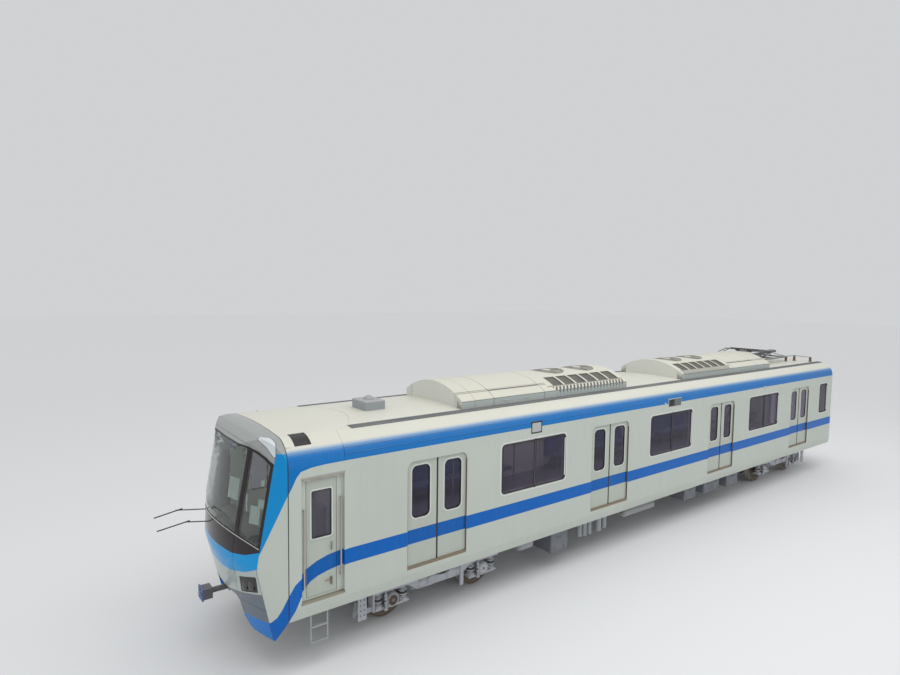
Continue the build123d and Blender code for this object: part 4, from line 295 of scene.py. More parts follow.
def edge_curve(value, points, start, length, reach=4.0):
    """Height of a painted edge, read from a curve through the points."""
    at = calc("DIVIDE", value - start, length, clamp=True)
    made = add_node(value.tree, "FloatCurve", Value=at)
    curve = made.mapping.curves[0]
    while len(curve.points) < len(points):
        curve.points.new(0.5, 0.5)
    for point, (along, height) in zip(curve.points, points):
        point.location = ((along - start) / length, height / reach)
        point.handle_type = "VECTOR"
    made.mapping.update()
    return Field(made.outputs[0]) * reach


livery_group, livery_out = new_group("livery", [], [("Blue", "Float")])
along, height = place_of(livery_group, "Along", "Height")
stripe_top, stripe_foot, band_foot = (edge_curve(along, points, SWEEP_START, SWEEP_LENGTH)
                                      for points in (STRIPE_TOP, STRIPE_FOOT, BAND_FOOT))
stripe = above(stripe_top, height) * above(height, stripe_foot)
band = above(height, band_foot) * above(BAND_HEAD, height, 0.05)
join(calc("MAXIMUM", stripe, band), livery_out.inputs["Blue"])


def near(value, centre, reach, soft=0.004):
    """1 where the value is nearer to the centre than the reach, 0 elsewhere."""
    return above(reach, abs(value - centre), soft)


def livery_paint(tree):
    """Body colour with the blue bands, the upper one a little lighter."""
    shade = mix_tone(above(place_of(tree, "Height"), 2.6, 0.8), BLUE, SKY_BLUE)
    return mix_tone(use_group(tree, livery_group, "Blue"), PALE, shade)


def side_wall_paint(tree):
    """Livery with the brown dirt that gathers on the cab door's sill and drip rail."""
    along, height = place_of(tree, "Along", "Height")
    sill = above(1.102, height, 0.006) * above(height, 1.058, 0.02)
    drip = above(3.062, height, 0.01) * above(height, 3.028, 0.004)
    dirt = near(along, -0.56, 0.372, 0.01) * (sill + drip * 0.6)
    return mix_tone(dirt * 0.75, livery_paint(tree), tone(132, 118, 100))


# Body sides: extruded aluminium walls, welded in long panels and painted. The outer skin, the
# frames round the doorways and the recess of the cab door are one piece a side.
def dress(material, *names):
    """Gives CAD nodes a material."""
    for name in names:
        slots = nodes[name].data.materials
        slots.clear()
        slots.append(material)


side_paint = weathered("side paint", side_wall_paint, roughness=0.34, dust=0.1, runs=0.04, grain=35.0,
                       bump=0.06, shine=0.2)
end_paint = weathered("end wall paint", PALE, roughness=0.4, dust=0.1, soil=0.3, grain=35.0, bump=0.08,
                      shine=0.2)
dress(side_paint, "side_wall_left", "side_wall_right")
dress(end_paint, "end_wall")

# Door leaves: sandwich panels that hang in the wall pockets, each with a tinted pane in a black
# rubber gasket. The meeting edges carry rubber noses, and the doorways have brown edge seals.
SIDES = (("left", 1), ("right", -1))
DOORS = (2.76, 7.58, 12.40, 17.22)
DOOR_HALF, SEAL_DEPTH, NOSE_DEPTH = 0.65, 0.006, 0.016
LEAF_FACE, LEAF_BACK, LEAF_MIDDLE = 1.439, 1.407, 1.423
PANE_REACH, PANE_MIDDLE = 0.35, 2.433
rubber = weathered("black rubber", tone(34, 33, 35), roughness=0.62, dust=0.25, soil=0.35, grain=120.0,
                   bump=0.2)
brown_seal = weathered("brown edge seal", tone(104, 88, 76), roughness=0.6, soil=0.3, grain=90.0, bump=0.2)


def leaf_livery_shaded(tree):
    """Livery darkened with painted shade as the leaves lie back in the doorways; laminate on the inner face.
    """
    # Painted shade: the outer face is drawn darker than the walls' livery.
    outside = mix_tone(0.16, livery_paint(tree), tone(160, 160, 140), "MULTIPLY")
    return mix_tone(above(1.41, place_of(tree, "Across"), 0.002), outside, tone(206, 206, 198))


dark_glass, tree = start_material("tinted side glass")
streaks = pattern(tree, "Noise", Scale=5.0, Detail=4.0)
set_shader(tree, Roughness=0.02 + above(streaks, 0.55, 0.3) * 0.05, IOR=1.22, Transmission_Weight=0.85,
           Base_Color=mix_tone(streaks, tone(118, 110, 128), tone(108, 102, 118)))
leaf_paint = weathered("door paint", leaf_livery_shaded, roughness=0.36, dust=0.1, runs=0.05, soil=0.3, grain=45.0,
                       bump=0.06, shine=0.2)
rim_paint = weathered("window rim", tone(216, 220, 214), roughness=0.4, dust=0.1, soil=0.1, grain=80.0,
                      bump=0.1, shine=0.3)


@contextmanager
def whole_mesh():
    """The active piece's mesh, open and selected as a whole."""
    bpy.ops.object.mode_set(mode="EDIT")
    bpy.ops.mesh.select_all(action="SELECT")
    yield
    bpy.ops.object.mode_set(mode="OBJECT")


def modify(piece, kind, **settings):
    """Applies a modifier to a piece."""
    modifier = piece.modifiers.new("step", kind)
    for key, value in settings.items():
        setattr(modifier, key, value)
    bpy.ops.object.modifier_apply(modifier="step")


def smooth_copy(name, material, body="car_body", angle=30):
    """Merged, smoothly shaded copy of a CAD node that stands for it."""
    bpy.ops.object.select_all(action="DESELECT")
    copy = nodes[name].copy()
    copy.data = nodes[name].data.copy()
    copy.parent = None
    copy.name = name + "_skin"
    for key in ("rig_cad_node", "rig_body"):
        if key in copy:
            del copy[key]
    bpy.context.scene.collection.objects.link(copy)
    bpy.context.view_layer.objects.active = copy
    copy.select_set(True)
    with whole_mesh():
        bpy.ops.mesh.remove_doubles(threshold=0.00002)
    bpy.ops.object.shade_smooth_by_angle(angle=math.radians(angle))
    modify(copy, "WEIGHTED_NORMAL", keep_sharp=True)
    copy.data.materials.clear()
    copy.data.materials.append(material)
    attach(copy, body)
    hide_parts(name)
    return copy


def add_shape(primitive, name, centre, turn=(0, 0, 0), scale=(1, 1, 1), **options):
    """Simple mesh at a place on the car, turned and scaled, with its place in its mesh."""
    bpy.ops.object.select_all(action="DESELECT")
    primitive(location=(JOINT + centre[0], centre[1], RAIL + centre[2]), rotation=turn, **options)
    made = bpy.context.object
    made.name = name
    made.scale = scale
    bpy.ops.object.transform_apply(location=True, rotation=True, scale=True)
    return made


def place_box(name, low, high, bevel=0.002, turn=(0, 0, 0)):
    """Box between two corners with its edges rounded, turned about its middle."""
    centre = [(a + b) / 2 for a, b in zip(low, high)]
    made = add_shape(bpy.ops.mesh.primitive_cube_add, name, centre, turn,
                     [abs(b - a) for a, b in zip(low, high)], size=1)
    with whole_mesh():
        bpy.ops.mesh.bevel(offset=bevel, segments=2, affect="EDGES")
    return made


def frame_ring(name, along, y, low, high, width, radius, band, depth):
    """Upright ring round a window: rounded outline of that width, a band wide, a depth thick about y."""
    made = add_shape(bpy.ops.mesh.primitive_plane_add, name, (along, y, (low + high) / 2),
                     (math.pi / 2, 0, 0), (width, high - low, 1), size=1)
    with whole_mesh():
        bpy.ops.mesh.bevel(offset=radius, segments=7, affect="VERTICES")
        bpy.ops.mesh.select_all(action="SELECT")
        bpy.ops.mesh.inset(thickness=band)
        bpy.ops.mesh.delete(type="FACE")
    modify(made, "SOLIDIFY", thickness=depth, offset=0)
    modify(made, "BEVEL", width=min(band, depth) * 0.3, segments=2)
    bpy.ops.object.shade_smooth_by_angle(angle=math.radians(35))
    return made


def mirror(piece):
    """Flips a piece across the centre line, its faces still looking outwards."""
    piece.data.transform(Matrix.Scale(-1, 4, (0, 1, 0)))
    piece.data.flip_normals()
    return piece


def both(pieces):
    """Pieces and their mirror images across the centre line."""
    images = []
    for piece in pieces:
        copy = piece.copy()
        copy.data = piece.data.copy()
        bpy.context.scene.collection.objects.link(copy)
        images.append(mirror(copy))
    return pieces + images


def settle(name, pieces, material, body="car_body"):
    """Joins pieces into one, with its name, material and body."""
    bpy.ops.object.select_all(action="DESELECT")
    for piece in pieces:
        piece.select_set(True)
    bpy.context.view_layer.objects.active = pieces[0]
    if len(pieces) > 1:
        bpy.ops.object.join()
    made = bpy.context.object
    made.name = name
    made.data.materials.clear()
    made.data.materials.append(material)
    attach(made, body)
    return made


def face_with(piece, material, chosen):
    """Gives faces of a piece another material, picked by where their middles lie on the car."""
    piece.data.materials.append(material)
    for face in piece.data.polygons:
        x, y, z = face.center
        if chosen(x - JOINT, abs(y), z - RAIL):
            face.material_index = len(piece.data.materials) - 1


for number, station in enumerate(DOORS, start=1):
    for side, sign in SIDES:
        for letter, way in (("front", 1), ("rear", -1)):
            body = f"door_{number}_{side}_{letter}"
            pane = way * PANE_REACH - station
            leaf = smooth_copy(body, leaf_paint, body)
            face_with(leaf, dark_glass, lambda x, y, z: abs(x - pane) < 0.191
                      and abs(z - PANE_MIDDLE) < 0.466 and abs(y - LEAF_MIDDLE) < 0.0041)
            rings = [frame_ring("gasket", pane, sign * y, 1.968, 2.898, 0.38, 0.1, 0.015, 0.004)
                     for y in (LEAF_FACE - 0.001, LEAF_BACK + 0.001)]
            rings.append(place_box("edge", (way * 0.0004 - station, sign * (LEAF_FACE - 0.001), 1.137),
                                   (way * NOSE_DEPTH - station, sign * (LEAF_FACE + 0.004), 3.008), 0.0015))
            settle(body + "_gasket", rings, rubber, body)
            rim = frame_ring("rim", pane, sign * (LEAF_FACE + 0.0005), 1.944, 2.922, 0.428, 0.124, 0.022,
                             0.004)
            settle(body + "_rim", [rim], rim_paint, body)
seals = []
for station in DOORS:
    for way in (1, -1):
        seals.append(place_box("seal", (way * DOOR_HALF - station, 1.447, 1.131),
                               (way * (DOOR_HALF - SEAL_DEPTH) - station, 1.4745, 2.86)))
settle("doorway_edge_seals", both(seals), brown_seal)


# Door sills: grooved tread plates let into the wall under each doorway, brown with dust. They keep
# the shape of their solids.
sill_steel = weathered("sill plate", tone(150, 132, 112), roughness=0.5, metallic=0.5, dust=0.5, soil=0.5,
                       grain=160.0, bump=0.4)
dress(sill_steel, "door_sills")


# Saloon windows: tinted panes that are bonded into pale aluminium frames, a black gasket round
# each, a pale strip at its rear side, and a slim bar in the middle of the wide ones.
WINDOWS = ((5.17, 1.83), (9.99, 1.83), (14.81, 1.83), (19.015, 0.63))
WINDOW_PITCH = 4.82
WINDOW_FACE = 1.4745
FRAME_TONE = tone(206, 211, 206)


def frame_paint(tree):
    """Pale anodised frame with a dark middle bar in the wide windows, which repeat at the pitch."""
    half = WINDOW_PITCH / 2
    cell = (place_of(tree, "Along") + (WINDOWS[0][0] + half)) % WINDOW_PITCH
    return mix_tone(near(cell, half, 0.03), FRAME_TONE, tone(84, 82, 86))


frame_metal = weathered("window frame", frame_paint, roughness=0.38, metallic=0.15, dust=0.1, runs=0.1,
                        grain=80.0, bump=0.1)
dress(frame_metal, "window_frames")
dress(dark_glass, "side_glass")
gaskets, rims = [], []
for station, width in WINDOWS:
    gaskets.append(frame_ring("ring", -station, WINDOW_FACE, 1.995, 2.98, width - 0.02, 0.09, 0.036, 0.004))
    rims.append(frame_ring("rim", -station, WINDOW_FACE, 1.959, 3.016, width + 0.052, 0.122, 0.02, 0.004))
    edge = -station - width / 2
    rims.append(place_box("strip", (edge + 0.024, 1.474, 2.085), (edge + 0.054, 1.4785, 2.89)))
    if width > 1:
        for x in (-station - 0.0215, -station + 0.0215):
            gaskets.append(place_box("bar", (x - 0.005, 1.4705, 2.025), (x + 0.005, 1.4755, 2.95), 0.001))
settle("window_gaskets", both(gaskets), rubber)
settle("window_rims", both(rims), rim_paint)


# Cab side doors: inward-opening leaves in a recess, with a window in a raised frame, lever
# handles, grab rails, a drip rail above and a ladder hung below.
CAB_DOOR, CAB_LOCK = -0.55, -0.715
CAB_PANE_MIDDLE = 2.43
CAB_DOOR_FACE = 1.4155
handle_brass = weathered("door handle", tone(146, 128, 98), roughness=0.35, metallic=0.6, grain=140.0)
bolt_steel = weathered("bolt steel", tone(138, 134, 128), metallic=0.5, dust=0.4, soil=0.3, grain=120.0,
                       bump=0.2)


def bead(name, points, radius):
    """Bar of round section that follows points on the car, made a mesh."""
    bpy.ops.object.select_all(action="DESELECT")
    line = bpy.data.curves.new(name, "CURVE")
    line.dimensions = "3D"
    line.bevel_depth = radius
    line.bevel_resolution = 3
    line.use_fill_caps = True
    run = line.splines.new("NURBS")
    run.points.add(len(points) - 1)
    for knot, (along, y, height) in zip(run.points, points):
        knot.co = (JOINT + along, y, RAIL + height, 1)
    run.order_u = 3
    run.use_endpoint_u = True
    run.resolution_u = 6
    made = bpy.data.objects.new(name, line)
    bpy.context.scene.collection.objects.link(made)
    bpy.context.view_layer.objects.active = made
    made.select_set(True)
    bpy.ops.object.convert(target="MESH")
    bpy.ops.object.shade_smooth_by_angle(angle=math.radians(40))
    return bpy.context.object


cab_glass, tree = start_material("cab door glass")
haze = pattern(tree, "Noise", Scale=5.0, Detail=4.0)
set_shader(tree, Base_Color=mix_tone(haze, tone(150, 146, 156), tone(138, 134, 146)), Roughness=0.05,
           IOR=1.3, Transmission_Weight=0.8)
for side, sign in SIDES:
    body = f"cab_door_{side}"
    leaf = smooth_copy(body, leaf_paint, body)
    face_with(leaf, cab_glass, lambda x, y, z: abs(x - CAB_DOOR) < 0.171 and abs(z - CAB_PANE_MIDDLE) < 0.381
              and abs(y - 1.398) < 0.0041)
    face_with(leaf, rim_paint, lambda x, y, z: y > CAB_DOOR_FACE and abs(z - CAB_PANE_MIDDLE) < 0.42)
    face_with(leaf, bolt_steel, lambda x, y, z: y > CAB_DOOR_FACE and abs(x + 0.71) < 0.03 and z < 1.99)
    ring = frame_ring("ring", CAB_DOOR, sign * 1.4165, 2.05, 2.81, 0.34, 0.03, 0.014, 0.005)
    settle(body + "_gasket", [ring], rubber, body)
    lever = [place_box("plate", (CAB_LOCK - 0.02, 1.4145, 1.25), (CAB_LOCK + 0.02, 1.4195, 1.37)),
             bead("lever", [(CAB_LOCK, 1.416, 1.335), (CAB_LOCK, 1.437, 1.335), (-0.66, 1.440, 1.337),
                            (-0.60, 1.440, 1.328)], 0.008)]
    if sign < 0:
        lever = [mirror(piece) for piece in lever]
    settle(body + "_lever", lever, handle_brass, body)
rail_steel = weathered("stainless rail", tone(186, 180, 168), roughness=0.34, metallic=0.7, dust=0.25,
                       runs=0.5, grain=140.0, bump=0.1)
dress(rail_steel, "cab_rails")
ladder_paint = weathered("ladder paint", tone(166, 174, 176), roughness=0.5, dust=0.4, soil=0.45, grain=90.0,
                         bump=0.3)
dress(ladder_paint, "cab_steps")


# Roof: wide cream extrusion with rolled shoulders. The band's edge lies on the shoulder, two dark
# hatches sit beside the moulded hood, and grooved strips run along both sides.
CREAM = tone(214, 213, 201)
SHOULDER_LINES = (3.335, 3.415)


def roof_paint(tree):
    """Cream roof, the band's blue with a painted highlight on its shoulders, and the two dark hatches."""
    along, across, height = place_of(tree, "Along", "Across", "Height")
    hatch = near(along, -0.285, 0.136) * near(across, 1.19, 0.156)
    inside = above(3.43, height) * above(4.775, height + across * 1.111) * above(1.39, across)
    blue = use_group(tree, livery_group, "Blue") * above(across, 1.2, 0.01) * (1.0 - inside)
    # Painted highlight: the band turns pale towards its top, where the shoulder rolls over.
    band_with_highlight = mix_tone(above(height, 3.43, 0.08) * 0.55, SKY_BLUE, tone(170, 196, 208))
    lower, upper = (near(height, line, 0.004, 0.003) for line in SHOULDER_LINES)
    band_with_highlight = mix_tone((lower + upper) * 0.35, band_with_highlight, tone(30, 84, 140))
    return mix_tone(hatch, mix_tone(blue, CREAM, band_with_highlight), tone(30, 29, 32))


roof_finish = weathered("roof paint", roof_paint, roughness=0.42, dust=0.12, runs=0.03, soil=0.0, grain=28.0,
                        bump=0.06, shine=0.3)
smooth_copy("roof", roof_finish)
strip_rubber = weathered("walkway strip", tone(98, 104, 108), roughness=0.7, dust=0.35, soil=0.0,
                         grain=150.0, bump=0.5)
dress(strip_rubber, "roof_strips")
aerial_paint = weathered("aerial paint", tone(150, 156, 160), dust=0.45, grain=90.0)
dress(aerial_paint, "antenna")


# Nose: one glass-fibre moulding with a pale hood, painted a darker grey as shade, a painted highlight
# in each of its upper corners, blue pillars, a black screen field, a blue bow below it, a white panel with
# the headlamps, and a grey apron over blue corners. Each edge is a curve of height, or place, over
# distance from the middle.
FRONT_WIDTH = 1.345
FIELD_FOOT = ((0, 1.86), (0.77, 1.863), (1.08, 1.914), (1.345, 2.01))
BOW_FOOT = ((0, 1.515), (0.44, 1.52), (0.74, 1.566), (1.076, 1.65), (1.345, 1.765))
HOOD_EDGE = ((0, 3.512), (0.68, 3.52), (0.88, 3.51), (1.07, 3.46), (1.21, 3.388), (1.345, 3.287))
# Rear and foot of the painted highlight in each upper corner of the hood.
HIGHLIGHT_REAR = ((0, 0.9), (0.97, 0.33), (0.98, 0.23), (1.076, 0.138), (1.25, 0.11), (1.345, 0.143))
HIGHLIGHT_FOOT = ((0, 3.66), (0.99, 3.645), (1.08, 3.60), (1.185, 3.535), (1.27, 3.45), (1.32, 3.395),
               (1.345, 3.42))
SCREEN_SEAM = ((1.2, 0.66), (1.58, 0.77), (2.16, 0.85), (3.5, 0.9))
APRON_TOP = ((0, 1.06), (0.18, 1.07), (0.52, 1.16), (0.77, 1.21), (1.29, 1.34), (1.345, 1.35))
CORNER_TOP = ((0, 0.80), (0.65, 0.805), (0.98, 0.85), (1.28, 0.874), (1.345, 0.876))
CREASE = 1.337
# Painted shade: the hood is pale like the body and is drawn in this darker grey for its shade.
SHADED_HOOD = tone(154, 159, 157)
BOW_BLUE = tone(8, 150, 216)
CORNER_BLUE = tone(0, 118, 206)
FIELD = tone(46, 41, 44)
WHITE = tone(178, 187, 184)
APRON_GREY = tone(106, 115, 124)


def nose_paint(tree):
    """Paint of the nose: cheeks follow the body's livery, the front has its own fields."""
    along, across, height = place_of(tree, "Along", "Across", "Height")

    def front_edge(points):
        return edge_curve(across, points, 0.0, FRONT_WIDTH)

    pillar = mix_tone(above(height, 1.75, 0.3), BLUE, tone(2, 138, 204))
    cheek = mix_tone(use_group(tree, livery_group, "Blue"), PALE, pillar)
    front = mix_tone(above(height, front_edge(BOW_FOOT)), WHITE, BOW_BLUE)
    front = mix_tone(above(height, front_edge(FIELD_FOOT)), front, FIELD)
    front = mix_tone(above(front_edge(APRON_TOP), height), front, APRON_GREY)
    front = mix_tone(above(front_edge(CORNER_TOP), height), front, CORNER_BLUE)
    seam = near(across, edge_curve(height, SCREEN_SEAM, 1.2, 2.3, 1.5), 0.004, 0.003) * above(height, 1.2)
    front = mix_tone(seam * 0.8, front, tone(40, 40, 44))
    shade = mix_tone(above(across, CREASE, 0.006), front, cheek)
    crease = near(across, CREASE, 0.004, 0.003) * above(1.80, height)
    shade = mix_tone(crease * 0.6, shade, tone(70, 74, 78))
    # Painted shade over the hood, and over the cheeks above the band.
    hood = calc("MAXIMUM", above(height, front_edge(HOOD_EDGE)) * above(CREASE, across, 0.006),
                above(height, 3.46, 0.006) * above(across, CREASE, 0.006))
    shade = mix_tone(hood, shade, SHADED_HOOD)
    shade = mix_tone(above(0.013, along, 0.002), shade, tone(52, 50, 50))
    # Painted highlight: a pale almond patch with a dark rim in each upper corner of the hood.
    lamp = calc("MINIMUM", calc("MINIMUM", along - front_edge(HIGHLIGHT_REAR),
                                height - front_edge(HIGHLIGHT_FOOT)),
                FRONT_WIDTH - across)
    shade = mix_tone(above(lamp, -0.006, 0.003), shade, tone(70, 70, 72))
    return mix_tone(above(lamp, 0.004, 0.003), shade, tone(208, 214, 216))


nose_finish = weathered("nose paint", nose_paint, roughness=0.18, dust=0.06, runs=0.02, soil=0.12,
                        grain=24.0, bump=0.03, coat=0.12, shine=0.15)
nose_skin = smooth_copy("nose", nose_finish, angle=26)
cab_lining = weathered("cab lining", tone(78, 78, 80), roughness=0.75, grain=120.0, bump=0.3)
nose_skin.data.materials.append(cab_lining)
for face in nose_skin.data.polygons:
    under_hood = face.normal.z < -0.5 and face.center.z > RAIL + 3.0
    inward = face.normal.y * face.center.y < 0 and abs(face.normal.y) > 0.5 and abs(face.center.y) > 1.0
    if face.normal.x < -0.2 or under_hood or inward:
        face.material_index = 1


# Windscreen: three curved laminated panes bonded into the moulding, a bright trim bead that bows
# across below them, and the two parked wipers with their lifted arms.
clear_glass, tree = start_material("windscreen glass")
film = pattern(tree, "Noise", Scale=3.0, Detail=5.0)
set_shader(tree, Roughness=0.01 + above(film, 0.55, 0.3) * 0.04, IOR=1.48, Transmission_Weight=1.0,
           Base_Color=mix_tone(film, tone(230, 238, 234), tone(222, 232, 228)))
smooth_copy("windscreen", clear_glass, angle=26)
# Height, place of the crease and place of the tip
NOSE_LEVELS = ((0.45, 0.170, 0.395), (1.725, 0.450, 0.725), (2.35, 0.335, 0.735), (3.75, 0.08, 0.53))
CREASE_HALF = 1.35


def nose_front(y, height):
    """Place of the nose's front face at a distance from the centre line and a height."""
    for (z0, crease0, tip0), (z1, crease1, tip1) in zip(NOSE_LEVELS, NOSE_LEVELS[1:]):
        if height <= z1:
            part = (height - z0) / (z1 - z0)
            crease, tip = crease0 + part * (crease1 - crease0), tip0 + part * (tip1 - tip0)
            break
    reach = tip - crease
    radius = (CREASE_HALF ** 2 + reach ** 2) / (2 * reach)
    return tip - radius + math.sqrt(radius ** 2 - y ** 2)


trim_metal = weathered("trim bead", tone(206, 206, 200), roughness=0.28, metallic=0.6, dust=0.1, grain=120.0,
                       bump=0.05)
TRIM_HALF, TRIM_TOP, TRIM_DROP = 1.32, 2.235, 0.19
trim_points = []
for step in range(-10, 11):
    y = TRIM_HALF * step / 10
    height = TRIM_TOP - TRIM_DROP * (y / 1.34) ** 2
    trim_points.append((nose_front(y, height) + 0.001, y, height))
settle("screen_trim", [bead("trim", trim_points, 0.007)], trim_metal)
dress(rubber, "wipers")


# Headlamps: dark lens blocks flush with the white panel, each with two round reflectors that stand
# slightly out of its face.
lens_dark, tree = start_material("headlamp cover")
ridges = pattern(tree, "Wave", 1, {"bands_direction": "Z"}, Scale=9.0, Distortion=0.6)
set_shader(tree, Base_Color=mix_tone(ridges, tone(16, 14, 16), tone(32, 29, 30)), Roughness=0.12,
           Specular_IOR_Level=0.3)
smooth_copy("headlamps", lens_dark, angle=26)
lens_light, tree = start_material("lamp reflector")
facets = pattern(tree, "Voronoi", Scale=70.0)
set_shader(tree, Base_Color=mix_tone(facets, tone(74, 70, 70), tone(48, 46, 48)), Roughness=0.15)
reflectors = []
for y, height in ((0.945, 1.385), (1.13, 1.44)):
    slope = math.atan((nose_front(y - 0.05, height) - nose_front(y + 0.05, height)) / 0.1)
    reflectors.append(add_shape(bpy.ops.mesh.primitive_uv_sphere_add, "reflector",
                                (nose_front(y, height) - 0.004, y, height), (0, 0, slope),
                                (0.16, 1.0, 1.25), segments=32, ring_count=12, radius=0.072))
    bpy.ops.object.shade_smooth()
settle("headlamp_reflectors", both(reflectors), lens_light)


# Air conditioning cases: long arched aluminium covers. The fan end of each has six mesh grilles a
# side, two round fan guards and a row of slanted louvres; a hinge strip runs along the hatch.
AIRCONS = (("aircon_front", -8.75, 1, 5.10), ("aircon_rear", -11.16, -1, 4.94))
GRILLE_PITCH, LOUVRE_PITCH = 0.39, 0.115
FANS = (0.73, 1.80)
CASE_EDGE = 0.9785
CASE_WHITE = tone(212, 210, 196)
MESH_DARK = tone(58, 55, 53)
SEAM_DARK = tone(84, 82, 80)


def distance(first, second):
    """Length of the diagonal over two distances."""
    return calc("SQRT", first * first + second * second)


def aircon_paint(fan_x, inward, length):
    """Paint of a case whose fan end is at fan_x: dark mesh in the grilles and guards, dark seams."""
    def paint(tree):
        along, across, height = place_of(tree, "Along", "Across", "Height")
        reach = (along - fan_x) * inward
        cell = (reach - 0.145) % GRILLE_PITCH
        grille = near(cell, GRILLE_PITCH / 2, 0.163) * above(2.49, reach) * above(reach, 0.17)
        grille = grille * near(across, 0.7, 0.163)
        fans = 0.0
        for fan in FANS:
            radius = distance(reach - fan, across)
            fans = calc("MAXIMUM", fans, above(0.421, radius) * above(radius, 0.109))
        slots = above((reach + across * -0.9) % LOUVRE_PITCH, 0.052, 0.01)
        for value, edge in ((across, 0.897), (CASE_EDGE, across), (2.52, reach), (reach, 0.1)):
            slots = slots * above(value, edge)
        weave = pattern(tree, "Brick", 1, {"offset": 0.0}, Scale=1.0, Mortar_Size=0.004, Brick_Width=0.022,
                        Row_Height=0.022)
        dark = mix_tone(weave, MESH_DARK, tone(112, 108, 102))
        # Painted shade: the outer sides of the case, past its edge, are drawn a darker grey than its top.
        shade = mix_tone(above(across, CASE_EDGE, 0.001), CASE_WHITE, tone(174, 183, 179))
        shade = mix_tone(grille, shade, dark)
        shade = mix_tone(fans * 0.72, shade, dark)
        shade = mix_tone(slots * 0.9, shade, MESH_DARK)
        foot = near(across, 0.876, 0.009) * (above(2.66, reach) * above(reach, 0.05))
        shade = mix_tone(foot * 0.85, shade, MESH_DARK)
        hinge = near(abs(across - 0.77), 0.019, 0.008, 0.003) * above(reach, 2.62)
        shade = mix_tone(hinge * 0.85, shade, tone(84, 80, 76))
        for seam, depth in ((0.33, 0.35), (0.82, 0.8), (2.26, 0.8)):
            shade = mix_tone(near(reach, length - seam, 0.006, 0.002) * depth, shade, SEAM_DARK)
        ledge = near(height, 3.795, 0.005, 0.002) * above(across, 0.95, 0.004)
        shade = mix_tone(ledge * 0.8, shade, SEAM_DARK)
        # Painted light: faces that look along the car, the case's ends, are drawn lighter.
        end = above(abs(facing(tree)[0]), 0.8, 0.2)
        return mix_tone(end * 0.6, shade, tone(216, 218, 214))
    return paint


for name, fan_x, inward, length in AIRCONS:
    finish = weathered(name + " paint", aircon_paint(fan_x, inward, length), dust=0.1, runs=0.04, soil=0.0,
                       grain=40.0, bump=0.08, shine=0.3)
    smooth_copy(name, finish)
    hatch = fan_x + inward * length
    fittings = []
    for step in range(5):
        x = hatch - inward * (0.98 + step * 0.28)
        fittings.append(place_box("tab", (x - 0.02, 0.745, 3.872), (x + 0.02, 0.80, 3.912), 0.004))
    for step in range(9):
        x = hatch - inward * (0.25 + step * 0.55)
        fittings.append(add_shape(bpy.ops.mesh.primitive_cylinder_add, "bolt", (x, 0.982, 3.69),
                                  (math.pi / 2, 0, 0), vertices=10, radius=0.011, depth=0.012))
        with whole_mesh():
            bpy.ops.mesh.bevel(offset=0.003, segments=1)
    for step in (1.15, 1.75):
        x = hatch - inward * step
        fittings.append(bead("grip", [(x - 0.05, 0.979, 3.74), (x - 0.05, 1.0, 3.74), (x + 0.05, 1.0, 3.74),
                                      (x + 0.05, 0.979, 3.74)], 0.006))
    settle(name + "_fittings", both(fittings), trim_metal)


# Pantograph: grey steel arms on a frame that stands on brown porcelain insulators, two lift
# springs, carbon strips on the head, and a bus bar that leads over posts to the rear.
STAND_FOOT = 3.8185
SPRING_START, SPRING_TURNS, SPRING_RADIUS = -16.87, 26, 0.031
STEPS_A_TURN, STEP_LENGTH = 12, 0.0022


def stand_paint(tree):
    """Grey frame over brown insulators."""
    return mix_tone(above(STAND_FOOT, place_of(tree, "Height")), tone(120, 124, 126), tone(104, 70, 56))


stand_finish = weathered("pantograph stand", stand_paint, roughness=0.4, dust=0.35, grain=90.0)
arm_finish = weathered("pantograph arm", tone(112, 116, 120), roughness=0.42, metallic=0.3, grain=90.0)
carbon = weathered("carbon and copper head", tone(74, 70, 68), roughness=0.5, metallic=0.4, dust=0.2,
                   grain=140.0, bump=0.3)
smooth_copy("pantograph_base", stand_finish)
for name, finish in (("pantograph_lower", arm_finish), ("pantograph_upper", arm_finish),
                     ("pantograph_head", carbon)):
    smooth_copy(name, finish, name)
spring_steel = weathered("spring steel", tone(86, 84, 82), roughness=0.4, metallic=0.7, dust=0.2,
                         grain=120.0, bump=0.1)
coils = []
for y in (0.15, -0.15):
    turns = []
    for step in range(SPRING_TURNS * STEPS_A_TURN):
        angle = 2 * math.pi * step / STEPS_A_TURN
        turns.append((SPRING_START - STEP_LENGTH * step, y + SPRING_RADIUS * math.cos(angle),
                      3.86 + SPRING_RADIUS * math.sin(angle)))
    coils.append(bead("coil", turns, 0.0045))
settle("lift_spring_coils", coils, spring_steel)


# Bogies: welded frames of two cranked beams, rubber axle springs in stepped cups, axle boxes with
# round covers, upright dampers, guards ahead of the leading wheels, and the motors between.
AXLES = (2.05, 4.15, 15.85, 17.95)
AXLE_HEIGHT = 0.43
BOX_FACE, BOX_BOLTS, BOLT_CIRCLE = 1.1025, 8, 0.088
SPRING_REACH = 0.255
BOGIE_GREY = tone(186, 191, 199)


def wheel_place(tree):
    """Distance along the car to the nearest axle, and from that axle's centre."""
    along, height = place_of(tree, "Along", "Height")
    nearest = 50.0
    for axle in AXLES:
        nearest = calc("MINIMUM", nearest, abs(along + axle))
    return nearest, distance(nearest, height - AXLE_HEIGHT)


